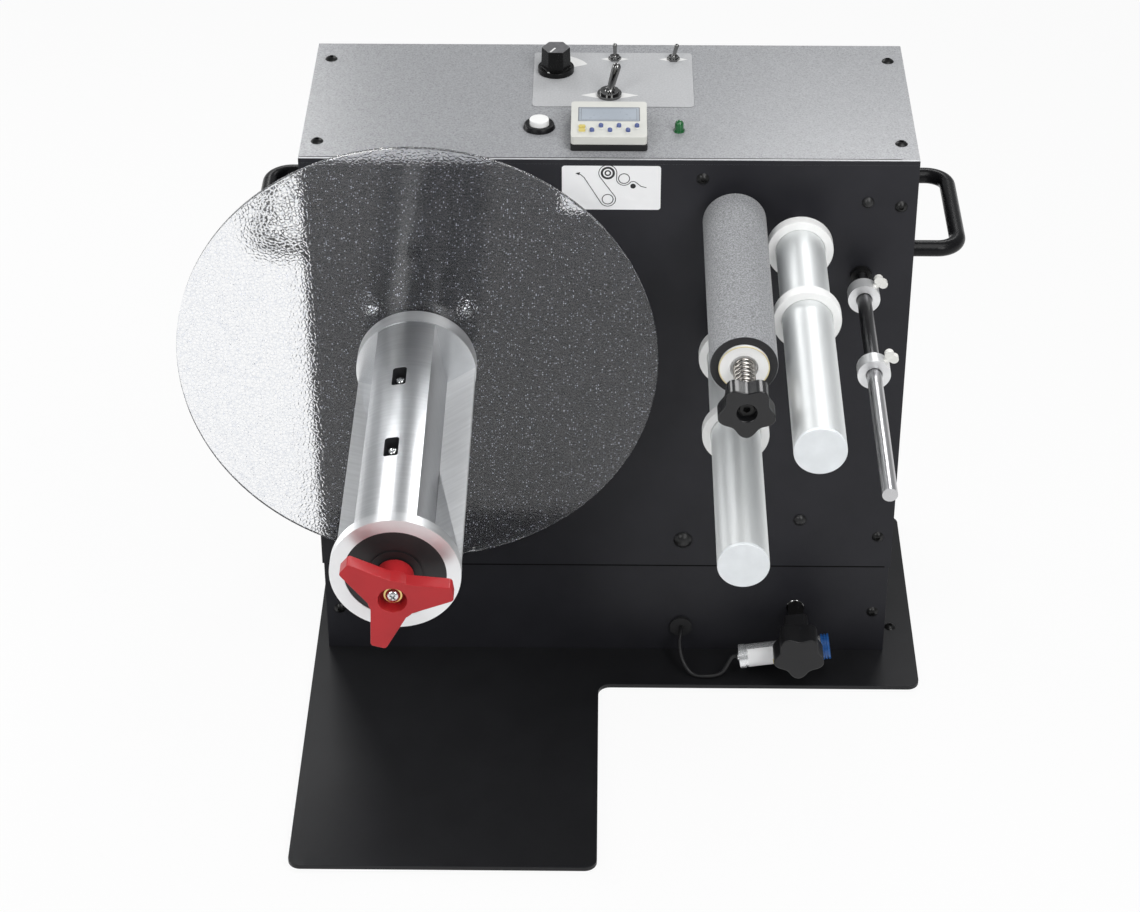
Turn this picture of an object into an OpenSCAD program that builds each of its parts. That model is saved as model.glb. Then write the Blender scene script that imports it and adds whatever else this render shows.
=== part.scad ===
// Label rewinder: an upright cabinet on an L-shaped base plate. A clear flange disc and an
// expanding core chuck turn on the front left; a braked foam roller, two idlers with edge
// collars, a guide bar and a label sensor stand on the front right; the controls are on top.
// Millimetres, +Z up, the front faces -Y. The origin is the middle of the footprint on the floor.

/* [Cabinet] */
// Width of the cabinet
cab_w = 384; // [350:1:440]
// Depth of the cabinet, front panel to rear cover
cab_d = 158; // [145:1:200]
// Height of the cabinet above the riser box
cab_h = 310.5; // [310:0.5:360]
// Height of the riser box
riser_h = 72; // [64:1:110]
// Step from the cabinet faces in to the riser faces
riser_inset = 1; // [0.5:0.5:4]
// Thickness of the sheet steel
sheet_t = 1.5; // [1:0.5:2.5]
// Thickness of the front panel
panel_t = 4; // [3:0.5:6]
// Thickness of the top panel
top_t = 3; // [2:0.5:5]

/* [Base plate] */
// Thickness of the base plate
base_t = 3; // [2:0.5:6]
// Reach of the base plate past the cabinet on the left
base_left = 7.5; // [3:0.5:20]
// Reach of the base plate past the cabinet on the right
base_right = 21; // [14:0.5:40]
// Reach of the base plate behind the cabinet
base_rear = 2; // [0:0.5:3]
// Reach of the right-hand part ahead of the cabinet
apron = 38.7; // [30:0.1:60]
// Reach of the left-hand tongue ahead of the cabinet
tongue_reach = 222; // [180:1:260]
// Width of the tongue
tongue_w = 194.8; // [160:0.2:230]
// Corner radius of the base plate
base_r = 8; // [4:0.5:14]
// Diameter of a rubber foot
foot_d = 16; // [10:0.5:22]
// Height of a rubber foot
foot_h = 3; // [2:0.5:8]

/* [Spindle and disc] */
// Spindle axis, from the middle of the cabinet
spindle_x = -120.5; // [-135:0.5:-105]
// Spindle axis, above the seam under the cabinet
spindle_up = 181.3; // [165:0.1:200]
// Diameter of the spindle shaft
shaft_d = 15; // [12:0.5:18]
// Diameter of the hub behind the disc
hub_d = 40; // [30:1:50]
// Diameter of the clear flange disc
disc_d = 305; // [250:1:340]
// Thickness of the flange disc
disc_t = 3; // [2:0.5:6]
// Front face of the disc, ahead of the panel
disc_reach = 30; // [24:0.5:40]

/* [Core chuck] */
// Diameter of the chuck, for a 76 mm core
chuck_d = 75.6; // [70:0.1:80]
// Length of the jaw between the flanges
grip_len = 205; // [150:1:230]
// Thickness of the rear chuck flange
flange_rear_t = 12; // [10:0.5:18]
// Thickness of the front chuck flange
flange_front_t = 8; // [7:0.5:12]
// Slope of the trough faces
trough_slope = 24.5; // [18:0.5:30]
// Depth of the trough edge below the axis
trough_drop = 2; // [1:0.5:5]
// Width of the expanding jaw
jaw_w = 36; // [34:0.5:42]
// Relief of the trough and jaw below the flanges
grip_relief = 0.3; // [0.1:0.1:1]
// Turn of the chuck about its axis in the rest pose
chuck_turn = 8.6; // [0:0.1:45]
// Radius of the spiral cams where the jaw is in
cam_r = 11; // [9:0.25:11.5]
// Rise of the spiral cams, the stroke of the jaw
cam_rise = 2.5; // [1:0.25:2.5]
// Turn of the knob over the whole stroke
cam_sweep = 150; // [90:5:180]
// Length of one cam along the shaft
cam_len = 30; // [15:1:50]
// Diameter of the cam shaft
cam_shaft_d = 12; // [9:0.5:14]
// Diameter of the black face disc
face_d = 59; // [50:0.5:64]
// Length of a jaw slot
slot_len = 19; // [14:0.5:30]
// Width of a jaw slot
slot_w = 8.6; // [8:0.1:14]
// First jaw slot, ahead of the panel
slot_first = 104; // [90:1:130]
// Second jaw slot, ahead of the panel
slot_second = 180; // [160:1:200]

/* [Chuck knob] */
// Radius to the wing tips
wing_r = 34.5; // [28:0.5:36]
// Smallest radius between the wings
wing_valley = 14.2; // [13:0.2:17]
// Width of a wing where its straight sides pass the axis
wing_root_w = 25.4; // [22:0.2:28]
// Width of a wing at its tip
wing_tip_w = 9; // [7:0.2:12]
// Radius of the corners of a wing tip
wing_corner = 2.2; // [1:0.1:4]
// Angle from the lower wing to each of the other two
wing_spread = 113; // [100:0.5:125]
// Thickness of the wings
wing_t = 9.5; // [7:0.5:14]
// Height of the whole knob
wing_knob_h = 25; // [20:0.5:32]
// Diameter of the knob hub
wing_hub_d = 22; // [18:0.5:23]
// Diameter of the counterbore in the knob
wing_bore_d = 16.5; // [12:0.5:18]
// Direction of the lower wing in the rest pose
wing_turn = 254.5; // [180:0.5:360]

/* [Brake roller] */
// Brake roller axis, from the middle of the cabinet
brake_x = 78.2; // [60:0.1:80]
// Brake roller axis, above the seam
brake_up = 273.5; // [260:0.1:280]
// Diameter of the foam sleeve
foam_d = 39.4; // [36:0.1:40]
// Diameter of the roller core
core_d = 28.8; // [24:0.1:32]
// Front end of the foam, ahead of the panel
foam_reach = 177; // [140:1:185]
// Diameter of the fixed shafts and axles
axle_d = 8; // [6:0.5:9]
// Height of the shoulder that holds a roller off the panel
shoulder_h = 8; // [5:0.5:11]
// Length of the brake spring
spring_len = 35; // [28:0.5:40]
// Mean diameter of the brake spring
spring_d = 11; // [10.5:0.1:12.5]
// Wire diameter of the brake spring
wire_d = 1.8; // [1.2:0.1:2]
// Curls of the brake spring
spring_curls = 8; // [6:1:9]
// Thickness of the brake washer
washer_t = 2; // [1:0.5:4]
// Diameter of the brake knob over its lobes
brake_knob_d = 34; // [28:0.5:40]
// Thickness of the brake knob
brake_knob_t = 13; // [10:0.5:18]

/* [Idlers] */
// Upper idler axis, from the middle of the cabinet
upper_x = 118.5; // [118:0.1:130]
// Upper idler axis, above the seam
upper_up = 263.5; // [255:0.1:266]
// Lower idler axis, from the middle of the cabinet
lower_x = 78.2; // [60:0.1:100]
// Lower idler axis, above the seam
lower_up = 184.4; // [150:0.1:200]
// Diameter of an idler tube
tube_d = 30.2; // [26:0.1:34]
// Wall of an idler tube
tube_wall = 1.5; // [1:0.1:3]
// Front end of an idler, ahead of the panel
idler_reach = 249; // [200:1:270]
// Thickness of an end cap rim
cap_t = 2.5; // [1.5:0.5:5]
// Height of the shoulder that an idler turns against
idler_shoulder = 15; // [8:0.5:17]
// Diameter of an edge collar
collar_d = 41; // [37:0.1:42]
// Thickness of an edge collar
collar_t = 8; // [5:0.5:12]
// Front face of the rear collars, ahead of the panel
collar_rear = 30; // [26:0.5:40]
// Front face of the upper front collar, ahead of the panel
collar_upper = 112; // [90:0.5:150]
// Front face of the lower front collar, ahead of the panel
collar_lower = 116.5; // [90:0.5:150]

/* [Guide bar] */
// Guide bar axis, from the middle of the cabinet
guide_x = 159.7; // [155:0.1:168]
// Guide bar axis, above the seam
guide_up = 228.9; // [215:0.1:235]
// Diameter of the guide bar
guide_d = 9; // [8:0.1:11]
// Front end of the guide bar, ahead of the panel
guide_reach = 241; // [200:1:270]
// Diameter of a guide collar
guide_collar_d = 20; // [17:0.5:24]
// Length of a guide collar
guide_collar_t = 9.8; // [8:0.1:14]
// Depth of the countersink in the front of a guide collar
collar_sink = 1.2; // [0.5:0.1:2]
// Front face of the front guide collar, ahead of the panel
guide_collar_front = 116.5; // [90:0.5:150]
// Diameter of a thumb screw
thumb_d = 4; // [3:0.5:5]
// Direction of the thumb screws above the horizontal
thumb_angle = 46; // [20:1:70]

/* [Side handles] */
// Height of the handles above the seam
handle_up = 229.5; // [150:0.5:260]
// Front leg of a handle, behind the panel face
handle_front = 33; // [25:0.5:45]
// Spacing of the handle legs
handle_span = 96; // [80:1:98]
// Reach of a handle from the cabinet side
handle_reach = 38; // [30:0.5:60]
// Diameter of the handle bar
handle_d = 10.5; // [8:0.5:13]
// Bend radius of the handle corners
handle_bend = 14; // [10:0.5:20]

/* [Top controls] */
// Speed knob, from the middle of the cabinet
speed_x = -34.6; // [-45:0.1:-30]
// Speed knob, behind the panel face
speed_y = 118.9; // [110:0.1:125]
// Diameter of the knob skirt
skirt_d = 23.5; // [20:0.5:28]
// Height of the speed knob
speed_h = 17.5; // [14:0.5:22]
// Width of the six-sided grip over its corners
grip_d = 18.4; // [15:0.1:19]
// Mode lever, from the middle of the cabinet
mode_x = 3.6; // [0:0.1:8]
// Power lever, from the middle of the cabinet
power_x = 41.9; // [36:0.1:48]
// Small levers, behind the panel face
small_y = 136; // [125:0.5:140]
// Height of a small lever tip above the top panel
small_h = 12; // [10:0.5:16]
// Lean of the power lever in the rest pose
power_lean = 14; // [8:1:16]
// Direction lever, from the middle of the cabinet
dir_x = 0.2; // [-4:0.1:4]
// Direction lever, behind the panel face
dir_y = 85; // [80:0.5:95]
// Height of the direction lever tip above the top panel
dir_h = 24; // [18:0.5:28]
// Lean of the direction lever in the rest pose
dir_lean = 14; // [8:1:16]
// Push button, from the middle of the cabinet
button_x = -43.8; // [-55:0.1:-40]
// Push button, behind the panel face
button_y = 42; // [35:0.5:48]
// Diameter of the button bezel
bezel_d = 20.5; // [18:0.5:24]
// Diameter of the button cap
cap_d = 12.2; // [10:0.1:14]
// Height of the button cap above the top panel
cap_h = 6.2; // [5.5:0.1:9]
// Status lamp, from the middle of the cabinet
lamp_x = 44; // [40:0.5:50]
// Status lamp, behind the panel face
lamp_y = 38; // [30:0.5:45]
// Diameter of the lamp lens
lamp_d = 5.7; // [4:0.1:8]
// Height of the lamp lens
lamp_h = 7.7; // [6:0.1:10]
// Width and depth of the counter
counter_w = 48; // [44:0.5:52]
// Front edge of the counter, behind the panel face
counter_y = 11; // [9:0.5:14]
// Height of the black counter base
counter_base_h = 4.5; // [3:0.5:6]
// Height of the light counter case
counter_case_h = 5.3; // [4:0.1:8]

/* [Front fittings] */
// Sensor post, from the middle of the cabinet
post_x = 129.1; // [125:0.1:140]
// Sensor post, above the base plate
post_up = 37; // [34:0.5:45]
// Width of the six-sided post over its flats
post_af = 10; // [9:0.5:13]
// Length of the six-sided part of the post
post_len = 19; // [15:0.5:24]
// Depth of the sensor clamp
clamp_t = 18; // [17:0.5:24]
// Width of the sensor clamp
clamp_w = 16; // [13:0.5:20]
// Distance of the sensor below the post
sensor_drop = 15; // [14:0.5:20]
// Diameter of the sensor barrel
sensor_d = 15.6; // [12:0.1:16]
// Tilt of the sensor in the rest pose
sensor_tilt = 9; // [0:0.5:12]
// Diameter of the clamp knob over its lobes
clamp_knob_d = 35; // [30:0.5:38]
// Thickness of the clamp knob
clamp_knob_t = 18.5; // [12:0.5:22]
// Cord grommet, from the middle of the cabinet
grommet_x = 51.5; // [45:0.5:60]
// Cord grommet, above the base plate
grommet_up = 20.5; // [17:0.5:26]
// Diameter of the grommet
grommet_d = 15; // [10:0.5:20]
// Diameter of the sensor cord
cord_d = 2.8; // [2:0.1:4]

/* [Hidden] */
$fn = 48;
base_z = foot_h;
riser_z = base_z + base_t;
seam_z = riser_z + riser_h;
top_z = seam_z + cab_h;
panel_top = top_z - top_t;
rear_y = cab_d - sheet_t;
eps = 0.5;
// Clearances: loose pieces, running fits, seated fits
loose = 0.3;
running = 0.08;
seated = 0.05;
// Screws: shank and head of the panel screws, their length, edge distances
screw_d = 4;
screw_head_d = 8;
screw_head_h = 2.2;
screw_len = 10;
edge = 10;
front_edge = 22.5;
low_edge = 25;
high_edge = 29;
riser_edge = 33;
// Gearbox and motor
bolt_x = 30.4;
bolt_z = 20.7;
bolt_len = 14;
gearbox_w = 84;
gearbox_h = 64;
gearbox_t = 42;
motor_d = 52;
motor_len = 70;
motor_drop = 10;
// Spindle hub, spigot and chuck
hub_back = 12;
spigot_d = 20;
spigot_len = 5;
chuck_y = disc_reach;
grip_y = chuck_y + flange_rear_t;
flange_y = grip_y + grip_len;
front_y = flange_y + flange_front_t;
chuck_r = chuck_d / 2 - grip_relief;
spindle_z = seam_z + spindle_up;
journal_len = 5;
face_t = 3;
face_sink = 0.5;
face_ring_r = 17;
face_ring_w = 1.4;
face_ring_deep = 0.7;
channel = cam_r + cam_rise + 2 * loose;
jaw_floor = -trough_drop - (chuck_r - jaw_w / 2) * tan(trough_slope) + loose;
slot_depth = 10;
wing_y = front_y + wing_knob_h;
knob_gap = 0.5;
wing_bore_depth = 8;
wing_socket = 13;
// Brake roller, spring and knob
brake_z = seam_z + brake_up;
core_lip = 2;
seat_depth = 3;
seat_d = 16;
spring_y = foam_reach + core_lip - seat_depth;
washer_y = spring_y + spring_len;
brake_knob_y = washer_y + washer_t;
knob_front = brake_knob_y + brake_knob_t;
lobe_depth = 4;
lobes = 5;
counterbore_d = 11.5;
counterbore = 6;
shoulder_d = 14;
nut_af = 13;
nut_t = 6.5;
// Spring wire: rings in one curl, sides of the wire
curl_rings = 8;
wire_sides = 6;
// Idlers and guide bar
upper_z = seam_z + upper_up;
lower_z = seam_z + lower_up;
guide_z = seam_z + guide_up;
plug_len = 10;
tube_back = idler_shoulder + cap_t;
tube_front = idler_reach - cap_t;
axle_front = tube_front - plug_len / 2;
thumb_in = guide_d / 2 + 2 * loose;
paddle_w = 9.6;
paddle_h = 5.6;
paddle_t = 3.4;
paddle_waist = 4.2;
paddle_gap = 1.8;
// Switches below the top panel
bush_small = 6.2;
bush_large = 12;
ball_small = 4;
ball_large = 7.2;
lever_small = [2.2, 2.9];
lever_large = [4.4, 5.8];
small_bush_h = 3.2;
large_bush_h = 4.5;
small_nut_h = 2;
large_ring_h = 2.4;
pivot_small = 2;
pivot_large = 3;
pot_shaft = 6;
pot_bush = 9;
pot_nut_h = 2;
pot_nut_af = 12;
pot_body_d = 24;
pot_body_h = 10;
pot_shaft_gap = 4;
small_nut_af = 7.4;
large_ring_d = 15.7;
small_body = [13, 8, 10];
large_body = [28, 17, 22];
bezel_h = 3;
stroke = 2.5;
counter_body = 44;
counter_deep = 25;
wire_hole_d = 30;
counter_mid = counter_y + counter_w / 2;
window_w = 38;
window_h = 18;
window_up = 30.5;
window_y = counter_y + window_up;
window_t = 1;
key_pitch = 5.6;
key_d = 3.6;
key_h = 0.6;
key_low = 7.2;
key_rise = 6;
// Front fittings
riser_face = riser_inset;
post_z = riser_z + post_up;
grommet_z = riser_z + grommet_up;
clamp_y = post_len + loose;
clamp_mid = clamp_y + clamp_t / 2 - 1;
clamp_knob_y = clamp_y + clamp_t + loose;
clamp_front = clamp_knob_y + clamp_knob_t;
clamp_above = 9;
clamp_below = sensor_drop + sensor_d / 2 + 3;
pin_d = 8;
sensor_left = 41;
sensor_right = 15;
lens_t = 5.4;
lens_d = 17.4;
nut_ring_d = 16.4;
nut_ring_t = 4;
groove_w = 0.8;
groove_deep = 0.8;
relief_d = 5;
relief_len = 1.2;
gland_h = 2.5;
plug_flange = 1;
// Mains inlet on the rear cover
inlet_x = 120;
inlet_up = 45;
inlet_w = 27;
inlet_h = 22;
inlet_flange_w = 46;
inlet_flange_h = 27;
inlet_flange_t = 2.5;
inlet_deep = 24;
socket_w = 24;
socket_h = 18;
socket_deep = 17;
blade_w = 2;
blade_h = 4;
blade_pitch = 7;
blade_drop = 4;
// Rear vents
vent_rows = 7;
vent_step = 14;
vent_w = 90;
vent_h = 5;
vent_r = 2.4;
vent_drop = 60;
// Control board
board_w = 130;
board_d = 80;
board_t = 1.6;
board_x = 40;
board_y = 85;
board_post = 8;
board_post_d = 6;
board_inset = 6;
coil_box = [42, 36, 30];
coil_inset = 12;
coil_y = -20;
sink_box = [50, 5, 26];
sink_x = 4;
sink_y = -32;
can_d = 14;
can_h = 24;
can_pitch = 20;
can_x = 10;
can_y = 18;
// Cord route: the ends follow the grommet and the sensor, the middle lies over the base plate
tilt_cos = cos(sensor_tilt);
tilt_sin = sin(sensor_tilt);
cord_end_x = post_x + sensor_drop * tilt_sin - (sensor_left + relief_len) * tilt_cos;
cord_end_z = post_z - sensor_drop * tilt_cos - (sensor_left + relief_len) * tilt_sin;
cord_start = [grommet_x, riser_face - gland_h, grommet_z];
cord_finish = [cord_end_x, -clamp_mid, cord_end_z];
cord_low = riser_z + cord_d / 2 + loose;
cord_out = 4;
cord_run = 15;
cord_route = [
    cord_start,
    cord_start + [0, -5, 0],
    cord_start + [-1, -13, -4],
    cord_start + [1, -22, -11],
    [grommet_x + cord_run / 2 - 0.5, -clamp_mid - cord_out / 2, cord_low + 1],
    [grommet_x + cord_run, -clamp_mid - cord_out, cord_low],
    [cord_end_x - 11, -clamp_mid - 3, cord_low + 2],
    cord_finish - 4 * [tilt_cos, 0, tilt_sin],
    cord_finish,
];
cord_steps = 3;
cord_sides = 8;
// The footprint box, whose middle is the origin
box_left = spindle_x - disc_d / 2;
box_right = cab_w / 2 + handle_reach;
box_front = -wing_y;
box_rear = cab_d + inlet_flange_t;

// Shared shapes

// Moves the whole machine so that the middle of its footprint is the origin
module placed() {
    translate([-(box_left + box_right) / 2, -(box_front + box_rear) / 2, 0])
        children();
}

// A cylinder along Y from one distance ahead of the panel to another
module rod(d, from, to) {
    translate([0, -min(from, to), 0])
        rotate([90, 0, 0])
            cylinder(d = d, h = abs(to - from));
}

// A profile in X and Z, extruded forward from one distance ahead of the panel to another
module slab(from, to) {
    translate([0, -from, 0])
        rotate([90, 0, 0])
            linear_extrude(to - from)
                children();
}

module hex_rod(af, from, to) {
    translate([0, -min(from, to), 0])
        rotate([90, 30, 0])
            cylinder(d = af / cos(30), h = abs(to - from), $fn = 6);
}

module rounded_rect(w, h, r) {
    square([w - 2 * r, h], center = true);
    square([w, h - 2 * r], center = true);
    for (sx = [-1, 1], sy = [-1, 1])
        translate([sx * (w / 2 - r), sy * (h / 2 - r)])
            circle(r);
}

// A slice of a ball: radius a at the foot, height h
module dome(a, h) {
    ball = (a * a + h * h) / (2 * h);
    intersection() {
        translate([0, 0, h - ball])
            sphere(ball);
        cylinder(r = a + eps, h = h + eps);
    }
}

// A button-head screw whose head stands on z = 0 and whose shank points down
module button_screw(len) {
    difference() {
        dome(screw_head_d / 2, screw_head_h);
        translate([0, 0, screw_head_h / 3])
            cylinder(d = screw_head_d * 0.4, h = screw_head_h, $fn = 6);
    }
    translate([0, 0, -len])
        cylinder(d = screw_d, h = len + screw_head_h / 4);
}

// The outline of a knob with equal lobes
function lobed(n, r, depth, steps) = [
    for (i = [0 : steps - 1])
        let (a = 360 * i / steps)
        let (s = r - depth * (1 - cos(n * a)) / 2)
        [s * cos(a), s * sin(a)]
];

// The radius of a spiral cam, at an angle from its low point
function spiral(a) = a <= cam_sweep
    ? cam_r + cam_rise * a / cam_sweep
    : cam_r + cam_rise * (360 - a) / (360 - cam_sweep);

function unit(v) = v / norm(v);

// A round tube through rings of points: each ring is a list of points, all of one length
module swept(rings) {
    sides = len(rings[0]);
    last = len(rings) - 1;
    points = [for (ring = rings) for (p = ring) p];
    walls = [
        for (i = [0 : last - 1], j = [0 : sides - 1], half = [0, 1])
            let (k = (j + 1) % sides, a = i * sides, b = a + sides)
            half == 0 ? [a + j, a + k, b + k] : [a + j, b + k, b + j]
    ];
    start = [for (j = [sides - 1 : -1 : 0]) j];
    end = [for (j = [0 : sides - 1]) last * sides + j];
    polyhedron(points, concat([start], walls, [end]));
}

// A point of the smooth curve through the route, between its points i and i + 1
function curve(p, i, t) =
    let (a = p[max(i - 1, 0)], b = p[i], c = p[i + 1], d = p[min(i + 2, len(p) - 1)])
    0.5 * (2 * b + (c - a) * t + (2 * a - 5 * b + 4 * c - d) * t * t
        + (3 * b - a - 3 * c + d) * t * t * t);

function smooth(p, steps) = concat(
    [for (i = [0 : len(p) - 2], s = [0 : steps - 1]) curve(p, i, s / steps)],
    [p[len(p) - 1]]
);

// Where the front panel is drilled: [x, z, diameter]
panel_holes = [
    [spindle_x, spindle_z, spigot_d + 2],
    [brake_x, brake_z, axle_d + 2 * seated],
    [upper_x, upper_z, axle_d + 2 * seated],
    [lower_x, lower_z, axle_d + 2 * seated],
    [guide_x, guide_z, axle_d + 2 * seated],
];
// Hole plugs: [x, height above the seam, diameter of the dome, height of the dome]
plugs = [[161.3, 281.5, 8, 2.6], [129.3, 38.5, 9.2, 3], [51.5, 21.3, 13, 4]];
// Screws of the front panel: [x, z]
front_screws = [
    [-cab_w / 2 + edge, panel_top - high_edge],
    [cab_w / 2 - edge, panel_top - high_edge],
    [-cab_w / 2 + edge, seam_z + low_edge],
    [cab_w / 2 - edge, seam_z + low_edge],
    [58.3, panel_top - edge],
];
riser_screws = [
    [-cab_w / 2 + edge, riser_z + riser_edge],
    [cab_w / 2 - edge, riser_z + riser_edge],
];
top_screws = [
    [-cab_w / 2 + edge, front_edge],
    [cab_w / 2 - edge, front_edge],
    [-cab_w / 2 + edge, cab_d - front_edge],
    [cab_w / 2 - edge, cab_d - front_edge],
];
rear_screws = [
    for (x = [-cab_w / 2 + edge, cab_w / 2 - edge], z = [seam_z + low_edge, panel_top - high_edge])
        [x, z]
];
motor_bolts = [for (sx = [-1, 1], sz = [-1, 1]) [spindle_x + sx * bolt_x, spindle_z + sz * bolt_z]];
handle_legs = [handle_front, handle_front + handle_span];

// Standing frame

module base_outline() {
    left = -cab_w / 2 - base_left;
    right = cab_w / 2 + base_right;
    back = cab_d + base_rear;
    inner = left + tongue_w;
    translate([left + tongue_w / 2, (back - tongue_reach) / 2])
        rounded_rect(tongue_w, back + tongue_reach, base_r);
    translate([(left + right) / 2, (back - apron) / 2])
        rounded_rect(right - left, back + apron, base_r);
    translate([inner, -apron])
        difference() {
            translate([-eps, -base_r])
                square([base_r + eps, base_r + eps]);
            translate([base_r, -base_r])
                circle(base_r);
        }
}

foot_edge = foot_d;
feet = [
    [-cab_w / 2 - base_left + foot_edge, -tongue_reach + foot_edge],
    [-cab_w / 2 - base_left + tongue_w - foot_edge, -tongue_reach + foot_edge],
    [-cab_w / 2 - base_left + foot_edge, cab_d - foot_edge],
    [cab_w / 2 + base_right - foot_edge, cab_d - foot_edge],
    [cab_w / 2 + base_right - foot_edge, -apron + foot_edge],
];
base_screw = [cab_w / 2 + 6, 27];

module base_plate() {
    color("dimgray")
        difference() {
            translate([0, 0, base_z])
                linear_extrude(base_t)
                    base_outline();
            translate([base_screw[0], base_screw[1], base_z - eps])
                cylinder(d = screw_d + 2 * seated, h = base_t + 2 * eps);
        }
}

module rubber_feet() {
    color("black")
        for (f = feet)
            translate([f[0], f[1], 0])
                cylinder(d1 = foot_d - 2, d2 = foot_d, h = foot_h);
}

module riser_box() {
    w = cab_w - 2 * riser_inset;
    d = cab_d - 2 * riser_inset;
    color("#222222")
        difference() {
            translate([-w / 2, riser_inset, riser_z])
                cube([w, d, riser_h]);
            translate([-w / 2 + sheet_t, riser_inset + sheet_t, riser_z - eps])
                cube([w - 2 * sheet_t, d - 2 * sheet_t, riser_h + 2 * eps]);
            for (s = riser_screws)
                translate([s[0], 0, s[1]])
                    rod(screw_d + 2 * seated, 0, -edge);
            translate([post_x, 0, post_z])
                rod(pin_d + 2 * seated, 0, -edge);
            translate([grommet_x, 0, grommet_z])
                rod(grommet_d - 4, 0, -edge);
        }
}

module front_panel() {
    color("#1c1c1c")
        difference() {
            translate([-cab_w / 2, 0, seam_z])
                cube([cab_w, panel_t, cab_h - top_t]);
            for (h = panel_holes)
                translate([h[0], 0, h[1]])
                    rod(h[2], eps, -panel_t - eps);
            for (s = concat(front_screws, motor_bolts))
                translate([s[0], 0, s[1]])
                    rod(screw_d + 2 * seated, eps, -panel_t - eps);
            for (p = plugs)
                translate([p[0], 0, seam_z + p[1]])
                    rod(p[2] - 2 + 2 * seated, eps, -panel_t - eps);
        }
}

module cabinet_shell() {
    deep = rear_y - panel_t;
    color("#222222")
        difference() {
            translate([-cab_w / 2, panel_t, seam_z])
                cube([cab_w, deep, cab_h - top_t]);
            translate([-cab_w / 2 + sheet_t, panel_t - eps, seam_z + sheet_t])
                cube([cab_w - 2 * sheet_t, deep + 2 * eps, cab_h]);
            translate([0, board_y, seam_z - eps])
                cylinder(d = wire_hole_d, h = sheet_t + 2 * eps);
            for (y = handle_legs)
                translate([-cab_w / 2 - eps, y, seam_z + handle_up])
                    rotate([0, 90, 0])
                        cylinder(d = screw_d + 2 * seated, h = cab_w + 2 * eps);
        }
}

module rear_cover() {
    color("#222222")
        difference() {
            translate([-cab_w / 2, rear_y, seam_z])
                cube([cab_w, sheet_t, cab_h - top_t]);
            for (side = [-1, 1], i = [0 : vent_rows - 1])
                translate([side * cab_w / 4, rear_y - eps, panel_top - vent_drop - i * vent_step])
                    rotate([-90, 0, 0])
                        linear_extrude(sheet_t + 2 * eps)
                            rounded_rect(vent_w, vent_h, vent_r);
            for (s = rear_screws)
                translate([s[0], 0, s[1]])
                    rod(screw_d + 2 * seated, -rear_y + eps, -cab_d - eps);
            translate([inlet_x, rear_y - eps, seam_z + inlet_up])
                rotate([-90, 0, 0])
                    linear_extrude(sheet_t + 2 * eps)
                        square([inlet_w + 2 * seated, inlet_h + 2 * seated], center = true);
        }
}

module top_panel() {
    color("#55585c")
        difference() {
            translate([-cab_w / 2, 0, panel_top])
                cube([cab_w, cab_d, top_t]);
            for (s = top_screws)
                translate([s[0], s[1], panel_top - eps])
                    cylinder(d = screw_d + 2 * seated, h = top_t + 2 * eps);
            top_hole(speed_x, speed_y, pot_bush);
            top_hole(mode_x, small_y, bush_small);
            top_hole(power_x, small_y, bush_small);
            top_hole(dir_x, dir_y, bush_large);
            top_hole(button_x, button_y, cap_d + 4);
            top_hole(lamp_x, lamp_y, lamp_d);
            translate([0, counter_mid, panel_top - eps])
                linear_extrude(top_t + 2 * eps)
                    square(counter_body + 2 * seated, center = true);
        }
}

module top_hole(x, y, d) {
    translate([x, y, panel_top - eps])
        cylinder(d = d + 2 * seated, h = top_t + 2 * eps);
}

// Screws with their heads on the outer faces
module panel_screws() {
    color("#101010") {
        for (s = top_screws)
            translate([s[0], s[1], top_z])
                button_screw(screw_len);
        for (s = front_screws)
            translate([s[0], 0, s[1]])
                rotate([90, 0, 0])
                    button_screw(screw_len);
        for (s = riser_screws)
            translate([s[0], riser_face, s[1]])
                rotate([90, 0, 0])
                    button_screw(screw_len);
        for (s = rear_screws)
            translate([s[0], cab_d, s[1]])
                rotate([-90, 0, 0])
                    button_screw(screw_len);
        for (side = [-1, 1], y = handle_legs)
            translate([side * (cab_w / 2 - sheet_t), y, seam_z + handle_up])
                rotate([0, -side * 90, 0])
                    button_screw(screw_len);
        translate([base_screw[0], base_screw[1], riser_z])
            button_screw(base_t);
    }
}

module motor_screws() {
    color("silver")
        for (s = motor_bolts)
            translate([s[0], 0, s[1]])
                rotate([90, 0, 0])
                    button_screw(bolt_len);
}

module hole_plugs() {
    color("#181818")
        for (p = plugs)
            translate([p[0], 0, seam_z + p[1]]) {
                rotate([90, 0, 0])
                    dome(p[2] / 2, p[3]);
                rod(p[2] - 2, plug_flange, -panel_t);
            }
}

// The handles are bars bent twice, screwed to the cabinet sides from inside
module handle_bar() {
    straight = handle_reach - handle_d / 2 - handle_bend;
    difference() {
        union() {
            for (y = handle_legs)
                translate([0, y, 0])
                    rotate([0, 90, 0])
                        cylinder(d = handle_d, h = straight);
            translate([straight, handle_legs[0] + handle_bend, 0])
                rotate([0, 0, -90])
                    rotate_extrude(angle = 90)
                        translate([handle_bend, 0])
                            circle(d = handle_d);
            translate([straight, handle_legs[1] - handle_bend, 0])
                rotate_extrude(angle = 90)
                    translate([handle_bend, 0])
                        circle(d = handle_d);
            translate([straight + handle_bend, handle_legs[1] - handle_bend, 0])
                rotate([90, 0, 0])
                    cylinder(d = handle_d, h = handle_span - 2 * handle_bend);
        }
        for (y = handle_legs)
            translate([-eps, y, 0])
                rotate([0, 90, 0])
                    cylinder(d = screw_d + 2 * seated, h = screw_len + eps);
    }
}

module side_handles() {
    color("#141414")
        for (side = [0, 1])
            mirror([side, 0, 0])
                translate([cab_w / 2, 0, seam_z + handle_up])
                    handle_bar();
}

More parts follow.
